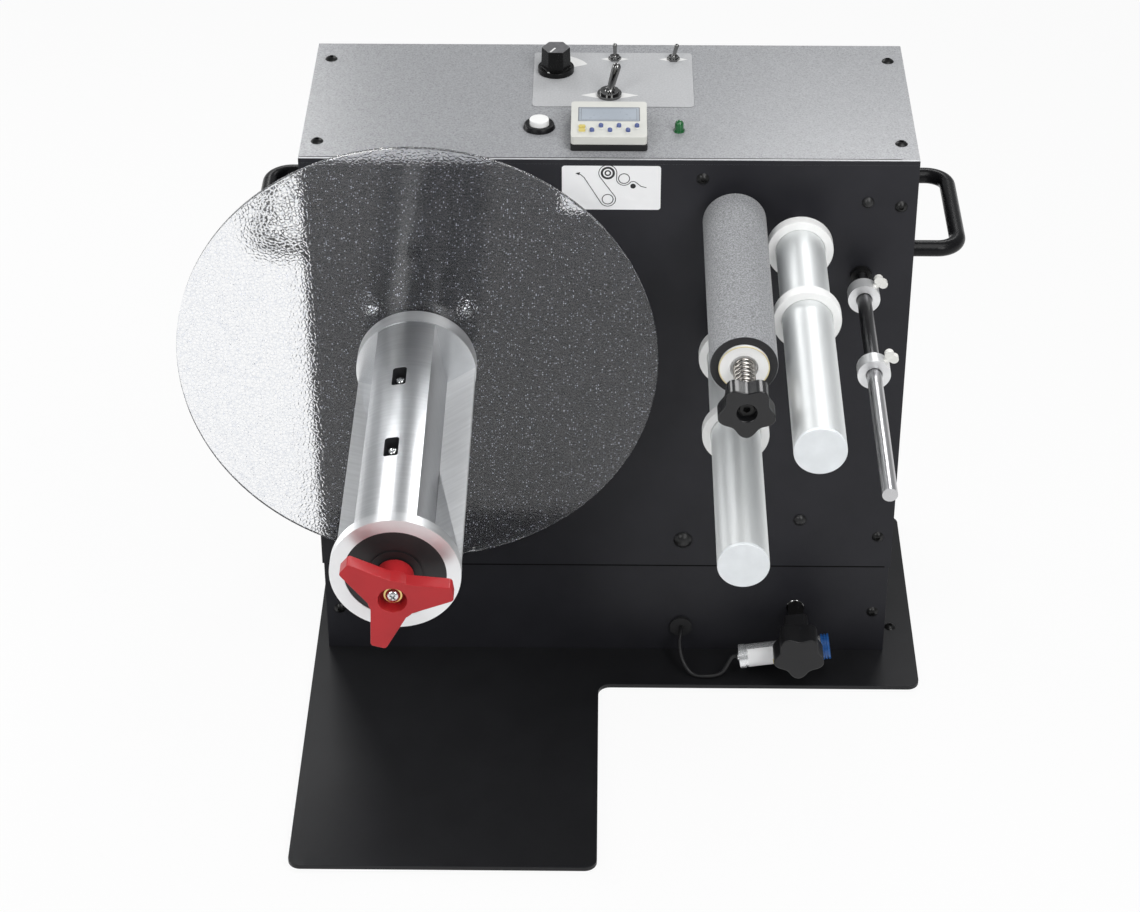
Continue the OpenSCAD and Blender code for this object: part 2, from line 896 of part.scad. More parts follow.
module mains_inlet() {
    y = cab_d + inlet_flange_t;
    color("#1a1a1a")
        translate([inlet_x, 0, seam_z + inlet_up]) {
            difference() {
                union() {
                    translate([0, y, 0])
                        slab(0, inlet_flange_t)
                            rounded_rect(inlet_flange_w, inlet_flange_h, 3);
                    translate([0, cab_d, 0])
                        slab(0, inlet_deep)
                            square([inlet_w, inlet_h], center = true);
                }
                translate([0, y, 0])
                    slab(-eps, socket_deep)
                        square([socket_w, socket_h], center = true);
            }
            for (i = [-1, 0, 1])
                translate([i * blade_pitch, y - 2, i == 0 ? blade_drop / 2 : -blade_drop / 2])
                    slab(0, socket_deep - 2 + eps)
                        square([blade_w, blade_h], center = true);
        }
}

// Drive

module gearbox() {
    color("#8c8f92")
        difference() {
            translate([spindle_x, -panel_t, spindle_z])
                slab_back(gearbox_t);
            translate([spindle_x, 0, spindle_z])
                rod(shaft_d + 2 * running, 0, -panel_t - gearbox_t + sheet_t * 2);
            for (s = motor_bolts)
                translate([s[0], 0, s[1]])
                    rod(screw_d + 2 * seated, 0, -bolt_len - eps);
        }
}

module slab_back(t) {
    translate([0, 2 * panel_t + t, 0])
        slab(0, t)
            rounded_rect(gearbox_w, gearbox_h, 8);
}

module drive_motor() {
    back = panel_t + gearbox_t;
    color("#3a3a3c")
        translate([spindle_x, 0, spindle_z - motor_drop]) {
            rod(motor_d, -back, -back - motor_len);
            rod(motor_d / 3, -back - motor_len, -back - motor_len - 4);
        }
}

module control_board() {
    color("#1f5a33")
        translate([board_x, board_y, seam_z + sheet_t]) {
            for (sx = [-1, 1], sy = [-1, 1])
                translate([sx * (board_w / 2 - board_inset), sy * (board_d / 2 - board_inset), 0])
                    cylinder(d = board_post_d, h = board_post + eps);
            translate([-board_w / 2, -board_d / 2, board_post])
                cube([board_w, board_d, board_t]);
            translate([-board_w / 2 + coil_inset, coil_y, board_post + board_t - eps])
                cube(coil_box);
            for (i = [0 : 2])
                translate([can_x + i * can_pitch, can_y, board_post + board_t - eps])
                    cylinder(d = can_d, h = can_h);
            translate([sink_x, sink_y, board_post + board_t - eps])
                cube(sink_box);
        }
}

module spindle_shaft() {
    color("silver")
        translate([spindle_x, 0, spindle_z]) {
            rod(shaft_d, hub_back + eps, -gearbox_t);
            rod(hub_d, hub_back, disc_reach - disc_t);
            rod(spigot_d, disc_reach - disc_t - eps, disc_reach + spigot_len);
        }
}

module flange_disc() {
    color("#cfe0ea", 0.35)
        translate([spindle_x, 0, spindle_z])
            difference() {
                rod(disc_d, disc_reach - disc_t, disc_reach);
                rod(spigot_d + 2 * seated, 0, disc_reach + eps);
            }
}

// Core chuck: drawn upright about its own axis, then turned to the rest pose

module chuck_frame() {
    translate([spindle_x, 0, spindle_z])
        rotate([0, -chuck_turn, 0])
            children();
}

module trough_profile() {
    over = chuck_r + 1;
    lip = -trough_drop + tan(trough_slope);
    valley = -trough_drop - chuck_r * tan(trough_slope);
    intersection() {
        circle(r = chuck_r);
        polygon([[-over, -over], [over, -over], [over, lip], [0, valley], [-over, lip]]);
    }
}

module chuck_body() {
    color("#c9ccce")
        chuck_frame()
            difference() {
                union() {
                    rod(chuck_d, chuck_y, grip_y);
                    slab(grip_y - eps, flange_y + eps)
                        trough_profile();
                    rod(chuck_d, flange_y, front_y);
                }
                rod(spigot_d + 2 * seated, 0, chuck_y + spigot_len + seated);
                rod(cam_shaft_d + 2 * running, grip_y - journal_len, front_y + eps);
                rod(face_d + 2 * seated, front_y - face_t - face_sink, front_y + eps);
            }
}

module chuck_face() {
    color("#111111")
        chuck_frame()
            difference() {
                rod(face_d, front_y - face_t - face_sink, front_y - face_sink);
                rod(cam_shaft_d + 2 * loose, flange_y, front_y + eps);
                difference() {
                    rod(2 * face_ring_r, front_y - face_sink - face_ring_deep, front_y);
                    rod(2 * (face_ring_r - face_ring_w), flange_y, front_y + eps);
                }
            }
}

module jaw_slot(y) {
    translate([0, -y, 0])
        linear_extrude(chuck_d)
            rounded_rect(slot_w, slot_len, 2);
}

jaw_slots = [slot_first, slot_second];
slot_floor = chuck_r - slot_depth;
jaw_screw_len = 9;

module chuck_jaw() {
    color("#b9bcbf")
        chuck_frame()
            difference() {
                slab(grip_y + loose, flange_y - loose)
                    difference() {
                        intersection() {
                            circle(r = chuck_r);
                            translate([-jaw_w / 2, jaw_floor])
                                square([jaw_w, chuck_d]);
                        }
                        translate([-channel, jaw_floor - eps])
                            square([2 * channel, cam_r + loose - jaw_floor + eps]);
                    }
                for (y = jaw_slots) {
                    translate([0, 0, slot_floor])
                        jaw_slot(y);
                    translate([0, -y, slot_floor - jaw_screw_len])
                        cylinder(d = screw_d + 2 * seated, h = jaw_screw_len + eps);
                }
            }
}

module jaw_screws() {
    color("silver")
        chuck_frame()
            for (y = jaw_slots)
                translate([0, -y, slot_floor])
                    button_screw(jaw_screw_len - loose);
}

module cam_profile() {
    polygon([for (a = [0 : 6 : 354]) spiral(a) * [-sin(a), cos(a)]]);
}

module cam_shaft() {
    cams = [grip_len / 4, grip_len * 3 / 4];
    color("#8f9296")
        chuck_frame() {
            rod(cam_shaft_d, grip_y - journal_len + loose, front_y + wing_socket);
            for (c = cams)
                slab(grip_y + c - cam_len / 2, grip_y + c + cam_len / 2)
                    cam_profile();
        }
}

// One wing: straight tapering sides and a flat tip with round corners
module wing() {
    fall = (wing_root_w - wing_tip_w) / 2 / wing_r;
    taper = atan(fall);
    corner_x = wing_r - wing_corner;
    corner_y = wing_root_w / 2 - fall * corner_x - wing_corner / cos(taper);
    side_x = corner_x + wing_corner * sin(taper);
    side_y = corner_y + wing_corner * cos(taper);
    polygon([
        [0, wing_root_w / 2], [side_x, side_y], [wing_r, corner_y],
        [wing_r, -corner_y], [side_x, -side_y], [0, -wing_root_w / 2],
    ]);
    for (side = [-1, 1])
        translate([corner_x, side * corner_y])
            circle(r = wing_corner);
}

module wing_outline() {
    circle(r = wing_valley);
    for (i = [-1 : 1])
        rotate(i * wing_spread)
            wing();
}

module chuck_knob() {
    back = front_y + knob_gap;
    color("#c0281e")
        translate([spindle_x, 0, spindle_z])
            rotate([0, -wing_turn, 0])
                difference() {
                    union() {
                        slab(wing_y - wing_t, wing_y)
                            wing_outline();
                        rod(wing_hub_d, back, wing_y - wing_t + eps);
                    }
                    rod(cam_shaft_d + 2 * seated, back - eps, front_y + wing_socket);
                    rod(wing_bore_d, wing_y - wing_bore_depth, wing_y + eps);
                }
}

// Brake roller

module brake_at() {
    translate([brake_x, 0, brake_z])
        children();
}

module roller_core() {
    color("ivory")
        brake_at()
            difference() {
                rod(core_d, shoulder_h + loose, foam_reach + core_lip);
                rod(axle_d + 2 * running, 0, foam_reach + core_lip + eps);
                rod(seat_d, spring_y, foam_reach + core_lip + eps);
            }
}

module foam_sleeve() {
    color("#1d1e20")
        brake_at()
            difference() {
                rod(foam_d, shoulder_h + 2, foam_reach);
                rod(core_d + 2 * seated, 0, foam_reach + eps);
            }
}

// One wire from end to end: straight leads of one wire diameter at the start and the end
module brake_spring() {
    reach = spring_len - wire_d - 2 * loose;
    steps = spring_curls * curl_rings;
    r = spring_d / 2;
    y0 = spring_y + loose + wire_d / 2;
    helix = [for (i = [0 : steps]) let (a = 360 * i / curl_rings)
        [r * cos(a), -y0 - reach * i / steps, r * sin(a)]];
    path = concat(
        [helix[0] + wire_d * [0, 0, -1]],
        helix,
        [helix[steps] + wire_d * [0, 0, 1]]
    );
    rings = [for (i = [0 : len(path) - 1])
        let (a = 360 * min(max(i - 1, 0), steps) / curl_rings)
        [for (j = [0 : wire_sides - 1])
            let (b = 360 * j / wire_sides)
            path[i] + wire_d / 2 * (cos(b) * [cos(a), 0, sin(a)] + sin(b) * [0, -1, 0])]];
    color("gainsboro")
        brake_at()
            swept(rings);
    echo(spring_gap = reach / spring_curls - wire_d);
}

module brake_washer() {
    color("silver")
        brake_at()
            difference() {
                rod(seat_d, washer_y, washer_y + washer_t);
                rod(axle_d + 2 * running, 0, washer_y + washer_t + eps);
            }
}

module star_knob(d, from, to) {
    slab(from, to)
        rotate(-90)
            polygon(lobed(lobes, d / 2, lobe_depth, 60));
}

module brake_knob() {
    color("#141414")
        brake_at()
            difference() {
                star_knob(brake_knob_d, brake_knob_y, knob_front);
                rod(axle_d + 2 * running, 0, knob_front + eps);
                rod(counterbore_d, knob_front - counterbore, knob_front + eps);
            }
}

// Fixed axles: shoulder on the panel face, nut behind the panel

module axle(front, shoulder) {
    rod(axle_d, -panel_t - nut_t - 2, front);
    rod(shoulder_d, 0, shoulder);
}

module axle_nut() {
    difference() {
        hex_rod(nut_af, -panel_t, -panel_t - nut_t);
        rod(axle_d + 2 * seated, 0, -panel_t - nut_t - eps);
    }
}

module roller_axles() {
    color("silver") {
        brake_at() {
            difference() {
                axle(knob_front - counterbore + 2, shoulder_h);
                hex_rod(axle_d / 2, knob_front - counterbore - 1, knob_front);
            }
            axle_nut();
        }
        for (p = [[upper_x, upper_z], [lower_x, lower_z]])
            translate([p[0], 0, p[1]]) {
                axle(axle_front, idler_shoulder);
                axle_nut();
            }
    }
}

// Idlers

module idler_tube(x, z) {
    color("#b4b7ba")
        translate([x, 0, z])
            difference() {
                rod(tube_d, tube_back, tube_front);
                rod(tube_d - 2 * tube_wall, 0, tube_front + eps);
            }
}

module idler_caps(x, z) {
    plug_d = tube_d - 2 * tube_wall - 2 * seated;
    color("#e8e8e2")
        translate([x, 0, z]) {
            difference() {
                union() {
                    rod(tube_d, idler_shoulder + loose, tube_back);
                    rod(plug_d, tube_back - eps, tube_back + plug_len);
                }
                rod(axle_d + 2 * running, 0, tube_back + plug_len + eps);
            }
            difference() {
                union() {
                    rod(tube_d, tube_front, idler_reach);
                    rod(plug_d, tube_front - plug_len, tube_front + eps);
                }
                rod(axle_d + 2 * running, 0, axle_front + loose);
            }
        }
}

module upper_tube() {
    idler_tube(upper_x, upper_z);
}

module lower_tube() {
    idler_tube(lower_x, lower_z);
}

module upper_caps() {
    idler_caps(upper_x, upper_z);
}

module lower_caps() {
    idler_caps(lower_x, lower_z);
}

module edge_collar(x, z, front) {
    color("#f2f1ec")
        translate([x, 0, z])
            difference() {
                rod(collar_d, front - collar_t, front);
                rod(tube_d + 2 * running, 0, front + eps);
            }
}

module upper_collar_rear() {
    edge_collar(upper_x, upper_z, collar_rear);
}

module upper_collar_front() {
    edge_collar(upper_x, upper_z, collar_upper);
}

module lower_collar_rear() {
    edge_collar(lower_x, lower_z, collar_rear);
}

module lower_collar_front() {
    edge_collar(lower_x, lower_z, collar_lower);
}

// Guide bar and its collars

module guide_at() {
    translate([guide_x, 0, guide_z])
        children();
}

module guide_bar() {
    color("silver")
        guide_at() {
            rod(guide_d, 0, guide_reach);
            rod(axle_d, -panel_t - nut_t - 2, eps);
            rod(shoulder_d, 0, shoulder_h / 2);
            axle_nut();
        }
}

module guide_collar(front) {
    color("#b4b7ba")
        guide_at()
            difference() {
                rod(guide_collar_d, front - guide_collar_t, front);
                rod(guide_d + 2 * running, 0, front + eps);
                translate([0, -front - eps, 0])
                    rotate([-90, 0, 0])
                        cylinder(d1 = guide_d + 2 * collar_sink, d2 = guide_d, h = collar_sink);
                thumb_at(front)
                    cylinder(d = thumb_d + 2 * running, h = guide_collar_d);
            }
}

// The axis of a thumb screw: out of the bar, up and to the right
module thumb_at(front) {
    translate([0, -front + guide_collar_t / 2, 0])
        rotate([0, 90 - thumb_angle, 0])
            children();
}

module thumb_screw(front) {
    middle = guide_collar_d / 2 + paddle_gap + paddle_h / 2;
    lobe = (paddle_w - paddle_h) / 2;
    color("ghostwhite")
        guide_at()
            thumb_at(front) {
                translate([0, 0, thumb_in])
                    cylinder(d = thumb_d, h = middle - thumb_in);
                translate([0, paddle_t / 2, middle])
                    rotate([90, 0, 0])
                        linear_extrude(paddle_t) {
                            square([2 * lobe, paddle_waist], center = true);
                            for (side = [-1, 1])
                                translate([side * lobe, 0])
                                    circle(d = paddle_h);
                        }
            }
}

module guide_collar_rear() {
    guide_collar(collar_rear);
}

module guide_collar_front() {
    guide_collar(guide_collar_front);
}

module thumb_screw_rear() {
    thumb_screw(collar_rear);
}

module thumb_screw_front() {
    thumb_screw(guide_collar_front);
}

// Top controls

module top_at(x, y) {
    translate([x, y, top_z])
        children();
}

module toggle_body(bush, bush_h, ball, pivot, body) {
    difference() {
        union() {
            translate([0, 0, -top_t - eps])
                cylinder(d = bush, h = top_t + bush_h + eps);
            translate([0, 0, -top_t - body[2] / 2])
                cube(body, center = true);
        }
        translate([0, 0, pivot - ball / 2 - loose])
            cylinder(d = ball + 2 * running, h = bush_h + ball);
    }
    difference() {
        children();
        translate([0, 0, -eps])
            cylinder(d = bush + 2 * seated, h = bush_h);
    }
}

// Bodies under the top panel, with the bushes and nuts that show above it
module switch_bodies() {
    color("#a8aaac") {
        for (x = [mode_x, power_x])
            top_at(x, small_y)
                toggle_body(bush_small, small_bush_h, ball_small, pivot_small, small_body)
                    cylinder(d = small_nut_af / cos(30), h = small_nut_h, $fn = 6);
        top_at(dir_x, dir_y)
            toggle_body(bush_large, large_bush_h, ball_large, pivot_large, large_body)
                cylinder(d = large_ring_d, h = large_ring_h);
        top_at(speed_x, speed_y) {
            translate([0, 0, -top_t - pot_body_h])
                cylinder(d = pot_body_d, h = pot_body_h);
            translate([0, 0, -top_t - eps])
                cylinder(d = pot_bush, h = top_t + pot_nut_h + 1 + eps);
            cylinder(d = pot_shaft, h = speed_h - pot_shaft_gap);
            difference() {
                cylinder(d = pot_nut_af / cos(30), h = pot_nut_h, $fn = 6);
                translate([0, 0, -eps])
                    cylinder(d = pot_bush + 2 * seated, h = pot_nut_h + 2 * eps);
            }
        }
    }
}

// The six-sided grip stands on a round skirt that hides the nut of the potentiometer
module speed_knob() {
    skirt_h = 3.5;
    color("#131313")
        top_at(speed_x, speed_y)
            difference() {
                union() {
                    translate([0, 0, loose])
                        cylinder(d = skirt_d, h = skirt_h);
                    translate([0, 0, skirt_h])
                        cylinder(d1 = grip_d + 1, d2 = grip_d, h = speed_h - skirt_h, $fn = 6);
                }
                cylinder(d = 15, h = pot_nut_h + 1 + loose);
                cylinder(d = pot_shaft + 2 * seated, h = speed_h - 4 + loose);
            }
}

// A lever drawn upright about its pivot, then leaned over to the right
module lever(ball, ends, length, lean) {
    low = ends[0];
    high = ends[1];
    rotate([0, lean, 0]) {
        sphere(d = ball);
        cylinder(d1 = low, d2 = high, h = length - high / 2);
        translate([0, 0, length - high / 2])
            sphere(d = high);
    }
}

module mode_lever() {
    color("silver")
        top_at(mode_x, small_y)
            translate([0, 0, pivot_small])
                lever(ball_small, lever_small, small_h - pivot_small, 0);
}

module power_lever() {
    color("silver")
        top_at(power_x, small_y)
            translate([0, 0, pivot_small])
                lever(ball_small, lever_small, small_h - pivot_small, power_lean);
}

module direction_lever() {
    color("silver")
        top_at(dir_x, dir_y)
            translate([0, 0, pivot_large])
                lever(ball_large, lever_large, dir_h - pivot_large, dir_lean);
}

module button_bezel() {
    barrel = 18;
    color("#151515")
        top_at(button_x, button_y)
            difference() {
                union() {
                    cylinder(d1 = bezel_d, d2 = bezel_d - 2, h = bezel_h);
                    translate([0, 0, -barrel])
                        cylinder(d = cap_d + 4, h = barrel + eps);
                }
                translate([0, 0, bezel_h - cap_h - stroke])
                    cylinder(d = cap_d + 2 * loose, h = cap_h + stroke + eps);
            }
}

module button_cap() {
    color("white")
        top_at(button_x, button_y)
            translate([0, 0, bezel_h - cap_h + loose])
                cylinder(d = cap_d, h = 2 * cap_h - bezel_h - loose);
}

module lamp_lens() {
    color("limegreen")
        top_at(lamp_x, lamp_y) {
            cylinder(d = lamp_d + 1.4, h = 1);
            translate([0, 0, -top_t - 3])
                cylinder(d = lamp_d, h = top_t + 3 + lamp_h - lamp_d / 2);
            translate([0, 0, lamp_h - lamp_d / 2])
                sphere(d = lamp_d);
        }
}

module counter_base() {
    color("#1a1a1a")
        top_at(0, counter_mid) {
            linear_extrude(counter_base_h)
                rounded_rect(counter_w, counter_w, 2);
            translate([0, 0, -counter_deep])
                linear_extrude(counter_deep + eps)
                    square(counter_body, center = true);
        }
}

counter_top = counter_base_h + counter_case_h;

module counter_case() {
    color("#d6d6d0")
        difference() {
            union() {
                top_at(0, counter_mid)
                    translate([0, 0, counter_base_h])
                        linear_extrude(counter_case_h)
                            rounded_rect(counter_w - 0.6, counter_w - 0.6, 2.5);
                for (i = [0 : 5])
                    top_at((i - 2) * key_pitch + 0.6, counter_y + key_low + (i % 2) * key_rise)
                        translate([0, 0, counter_top - eps])
                            cylinder(d = key_d, h = key_h + eps);
                for (i = [0, 1])
                    top_at(-3 * key_pitch, counter_y + key_low + i * key_rise)
                        translate([0, 0, counter_top - eps])
                            linear_extrude(key_h + eps)
                                rounded_rect(key_d + 1, key_d, 1);
            }
            top_at(0, window_y)
                translate([0, 0, counter_top - window_t])
                    linear_extrude(window_t + eps)
                        square([window_w, window_h], center = true);
        }
}

module counter_window() {
    color("#7c8a80")
        top_at(0, window_y)
            translate([0, 0, counter_top - window_t])
                linear_extrude(window_t)
                    square([window_w - 2 * seated, window_h - 2 * seated], center = true);
}

// Label sensor on its post

module post_at() {
    translate([post_x, 0, post_z])
        children();
}

module sensor_post() {
    color("#1b1b1b")
        post_at() {
            hex_rod(post_af, -riser_face, post_len);
            rod(pin_d, -riser_face - sheet_t - nut_t - 2, clamp_knob_y + clamp_knob_t / 2);
            difference() {
                hex_rod(nut_af, -riser_face - sheet_t, -riser_face - sheet_t - nut_t);
                rod(pin_d + 2 * seated, 0, -edge);
            }
        }
}

module clamp_frame() {
    post_at()
        rotate([0, -sensor_tilt, 0])
            children();
}

// The axis of the sensor, along X under the post
module sensor_axis() {
    clamp_frame()
        translate([0, -clamp_mid, -sensor_drop])
            rotate([0, 90, 0])
                children();
}

module sensor_clamp() {
    color("#202022")
        difference() {
            clamp_frame()
                slab(clamp_y, clamp_y + clamp_t)
                    translate([0, (clamp_above - clamp_below) / 2])
                        rounded_rect(clamp_w, clamp_above + clamp_below, 3);
            post_at()
                rod(pin_d + 2 * running, 0, clamp_front);
            sensor_axis()
                cylinder(d = sensor_d + 2 * seated, h = 4 * clamp_w, center = true);
        }
}

// A square groove round a cylinder, from z = 0 up
module groove(d) {
    difference() {
        cylinder(d = d + 1, h = groove_w);
        translate([0, 0, -eps])
            cylinder(d = d - 2 * groove_deep, h = groove_w + 2 * eps);
    }
}

module sensor_barrel() {
    color("#c4c7ca")
        sensor_axis() {
            difference() {
                union() {
                    translate([0, 0, -sensor_left])
                        cylinder(d = sensor_d, h = sensor_left + sensor_right);
                    translate([0, 0, -sensor_left])
                        cylinder(d = nut_ring_d, h = nut_ring_t);
                }
                translate([0, 0, -sensor_left + nut_ring_t])
                    groove(nut_ring_d);
            }
            translate([0, 0, -sensor_left - relief_len])
                cylinder(d = relief_d, h = relief_len + eps);
        }
}

module sensor_lens() {
    color("#1f5fae")
        sensor_axis()
            translate([0, 0, sensor_right])
                difference() {
                    cylinder(d = lens_d, h = lens_t);
                    for (share = [1 / 3, 2 / 3])
                        translate([0, 0, share * lens_t - groove_w / 2])
                            groove(lens_d);
                }
}

module clamp_knob() {
    color("#2a2b2d")
        post_at()
            difference() {
                star_knob(clamp_knob_d, clamp_knob_y, clamp_front);
                rod(pin_d + 2 * running, 0, clamp_knob_y + clamp_knob_t / 2 + loose);
            }
}

module cord_grommet() {
    color("#161616")
        translate([grommet_x, 0, grommet_z]) {
            rod(grommet_d, -riser_face, gland_h - riser_face);
            rod(grommet_d - 4 - 2 * seated, -riser_face - sheet_t - 2, -riser_face);
        }
}

module sensor_cord() {
    path = smooth(cord_route, cord_steps);
    last = len(path) - 1;
    side = unit([-0.5, 0.2, 0.8]);
    rings = [for (i = [0 : last])
        let (t = i == 0 ? [0, -1, 0]
            : i == last ? [tilt_cos, 0, tilt_sin]
            : unit(path[i + 1] - path[i - 1]))
        let (u = unit(cross(t, side)))
        let (v = cross(t, u))
        [for (j = [0 : cord_sides - 1])
            let (b = 360 * j / cord_sides)
            path[i] + cord_d / 2 * (cos(b) * u + sin(b) * v)]];
    color("#202020")
        swept(rings);
}

placed() base_plate();
placed() rubber_feet();
placed() riser_box();
placed() front_panel();
placed() cabinet_shell();
placed() rear_cover();
placed() top_panel();
placed() panel_screws();
placed() motor_screws();
placed() hole_plugs();
placed() counter_base();
placed() counter_case();
placed() counter_window();
placed() lamp_lens();
placed() button_bezel();
placed() switch_bodies();
placed() side_handles();
placed() gearbox();
placed() drive_motor();
placed() control_board();
placed() mains_inlet();
placed() roller_axles();
placed() guide_bar();
placed() cord_grommet();
placed() sensor_post();
placed() sensor_cord();
placed() spindle_shaft();
placed() flange_disc();
placed() chuck_body();
placed() chuck_face();
placed() chuck_knob();
placed() cam_shaft();
placed() chuck_jaw();
placed() jaw_screws();
placed() foam_sleeve();
placed() roller_core();
placed() brake_spring();
placed() brake_washer();
placed() brake_knob();
placed() upper_tube();
placed() upper_caps();
placed() lower_tube();
placed() lower_caps();
placed() upper_collar_rear();
placed() upper_collar_front();
placed() lower_collar_rear();
placed() lower_collar_front();
placed() guide_collar_rear();
placed() guide_collar_front();
placed() thumb_screw_rear();
placed() thumb_screw_front();
placed() speed_knob();
placed() direction_lever();
placed() power_lever();
placed() mode_lever();
placed() button_cap();
placed() sensor_clamp();
placed() sensor_barrel();
placed() sensor_lens();
placed() clamp_knob();
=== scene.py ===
import math

import bmesh
import bpy
from mathutils import Matrix, Vector


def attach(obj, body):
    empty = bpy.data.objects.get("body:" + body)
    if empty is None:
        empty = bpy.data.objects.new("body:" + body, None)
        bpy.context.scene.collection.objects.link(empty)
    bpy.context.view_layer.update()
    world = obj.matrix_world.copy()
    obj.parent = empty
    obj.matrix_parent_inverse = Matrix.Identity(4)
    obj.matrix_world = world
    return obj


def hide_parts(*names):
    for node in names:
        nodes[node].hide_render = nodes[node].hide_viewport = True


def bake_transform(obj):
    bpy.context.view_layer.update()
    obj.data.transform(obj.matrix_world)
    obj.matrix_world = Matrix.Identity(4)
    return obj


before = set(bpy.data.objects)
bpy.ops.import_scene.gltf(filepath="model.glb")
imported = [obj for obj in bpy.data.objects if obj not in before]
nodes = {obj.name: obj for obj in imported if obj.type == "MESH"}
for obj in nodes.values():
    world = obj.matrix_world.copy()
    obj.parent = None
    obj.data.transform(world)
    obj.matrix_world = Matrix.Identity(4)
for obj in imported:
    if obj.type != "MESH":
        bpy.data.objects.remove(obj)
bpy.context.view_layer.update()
scene = bpy.context.scene
scene.view_settings.view_transform = "Standard"

# Places are given in millimetres from the middle of the front panel's foot, as in the part's source
SHIFT = Vector((21.5, 59.75, 0.0))
TOP = 388.5


def at(x, y, z):
    return (Vector((x, y, z)) + SHIFT) / 1000


# Camera: solved from the photograph, straight lens, no shift
def look(pitch, yaw, roll, place):
    p, w, r = (math.radians(a) for a in (pitch, yaw, roll))
    ahead = Vector((math.sin(w), math.cos(w), 0))
    side = Vector((math.cos(w), -math.sin(w), 0))
    sky = Vector((0, 0, 1))
    forward = ahead * math.cos(p) - sky * math.sin(p)
    up = sky * math.cos(p) + ahead * math.sin(p)
    right = side * math.cos(r) + up * math.sin(r)
    up = up * math.cos(r) - side * math.sin(r)
    m = Matrix((right, up, -forward)).transposed().to_4x4()
    m.translation = place
    return m


camera = bpy.data.objects.new("camera", bpy.data.cameras.new("camera"))
scene.collection.objects.link(camera)
camera.data.sensor_width = 36
camera.data.lens = 92.84
camera.matrix_world = look(34.408, -0.823, -0.108, at(-1.307, -1598.51, 1262.08))
scene.camera = camera


# Mesh helpers
def piece(name, verts, faces, material, smooth=True):
    mesh = bpy.data.meshes.new(name)
    mesh.from_pydata([tuple(v) for v in verts], [], faces)
    mesh.update()
    obj = bpy.data.objects.new(name, mesh)
    scene.collection.objects.link(obj)
    mesh.materials.append(material)
    if smooth:
        mesh.polygons.foreach_set("use_smooth", [True] * len(mesh.polygons))
    return obj


def sharpen(obj, degrees=35):
    obj.data.set_sharp_from_angle(angle=math.radians(degrees))
    return obj


def bevel(obj, width, segments=2, degrees=35):
    mod = obj.modifiers.new("edge", "BEVEL")
    mod.width = width
    mod.segments = segments
    mod.limit_method = "ANGLE"
    mod.angle_limit = math.radians(degrees)
    mod.harden_normals = True
    return obj


def frame_axes(direction):
    z = Vector(direction).normalized()
    x = z.orthogonal().normalized()
    return x, z.cross(x), z


def lathe(name, profile, origin, direction, material, steps=64):
    """A turned piece: profile is (radius, height) in millimetres from the origin along the direction."""
    x, y, z = frame_axes(direction)
    verts, faces, rings = [], [], []
    for r, h in profile:
        if r < 1e-6:
            rings.append([len(verts)])
            verts.append(origin + z * h / 1000)
            continue
        ring = []
        for i in range(steps):
            a = 2 * math.pi * i / steps
            ring.append(len(verts))
            verts.append(origin + (x * math.cos(a) + y * math.sin(a)) * r / 1000 + z * h / 1000)
        rings.append(ring)
    for a, b in zip(rings, rings[1:]):
        for i in range(steps):
            k = (i + 1) % steps
            if len(a) == 1 and len(b) > 1:
                faces.append((a[0], b[i], b[k]))
            elif len(b) == 1 and len(a) > 1:
                faces.append((a[i], a[k], b[0]))
            elif len(a) > 1:
                faces.append((a[i], a[k], b[k], b[i]))
    return sharpen(piece(name, verts, faces, material))


def outward(obj):
    mesh = bmesh.new()
    mesh.from_mesh(obj.data)
    bmesh.ops.recalc_face_normals(mesh, faces=mesh.faces)
    mesh.to_mesh(obj.data)
    mesh.free()
    return obj


def loft(name, sections, material, loop=False, smooth=False):
    """A closed solid through sections with the same count of points, or a ring of such sections."""
    n, count = len(sections[0]), len(sections)
    faces = []
    for i in range(count if loop else count - 1):
        a, b = i * n, (i + 1) % count * n
        faces += [(a + k, a + (k + 1) % n, b + (k + 1) % n, b + k) for k in range(n)]
    if not loop:
        faces += [tuple(range(n))[::-1], tuple((count - 1) * n + k for k in range(n))]
    return outward(piece(name, [v for section in sections for v in section], faces, material, smooth))


def tube(name, path, radius, material, sides=12):
    """A round tube along a path of points in metres, with both ends closed."""
    sections = []
    up = Vector((-0.5, 0.2, 0.8)).normalized()
    for i, p in enumerate(path):
        t = (path[min(i + 1, len(path) - 1)] - path[max(i - 1, 0)]).normalized()
        u = t.cross(up).normalized()
        up = u.cross(t).normalized()
        turns = [2 * math.pi * j / sides for j in range(sides)]
        sections.append([p + (u * math.cos(a) + up * math.sin(a)) * radius for a in turns])
    return sharpen(loft(name, sections, material, smooth=True), 50)


def on_panel(a, b, lift, plane):
    """A point on the top panel (x, y) or the front panel (x, z), lifted off it, all in millimetres."""
    return at(a, b, TOP + lift) if plane == "top" else at(a, -lift, b)


def plate(name, outline, lift, thick, material, plane="top"):
    """A thin flat plate with an outline in millimetres on a panel."""
    sections = [[on_panel(a, b, h, plane) for a, b in outline] for h in (lift, lift + thick)]
    return loft(name, sections, material)


def rounded(x0, y0, x1, y1, r, steps=6):
    out = []
    corners = ((x1 - r, y0 + r, -90), (x1 - r, y1 - r, 0), (x0 + r, y1 - r, 90), (x0 + r, y0 + r, 180))
    for cx, cy, start in corners:
        for i in range(steps + 1):
            a = math.radians(start + 90 * i / steps)
            out.append((cx + r * math.cos(a), cy + r * math.sin(a)))
    return out


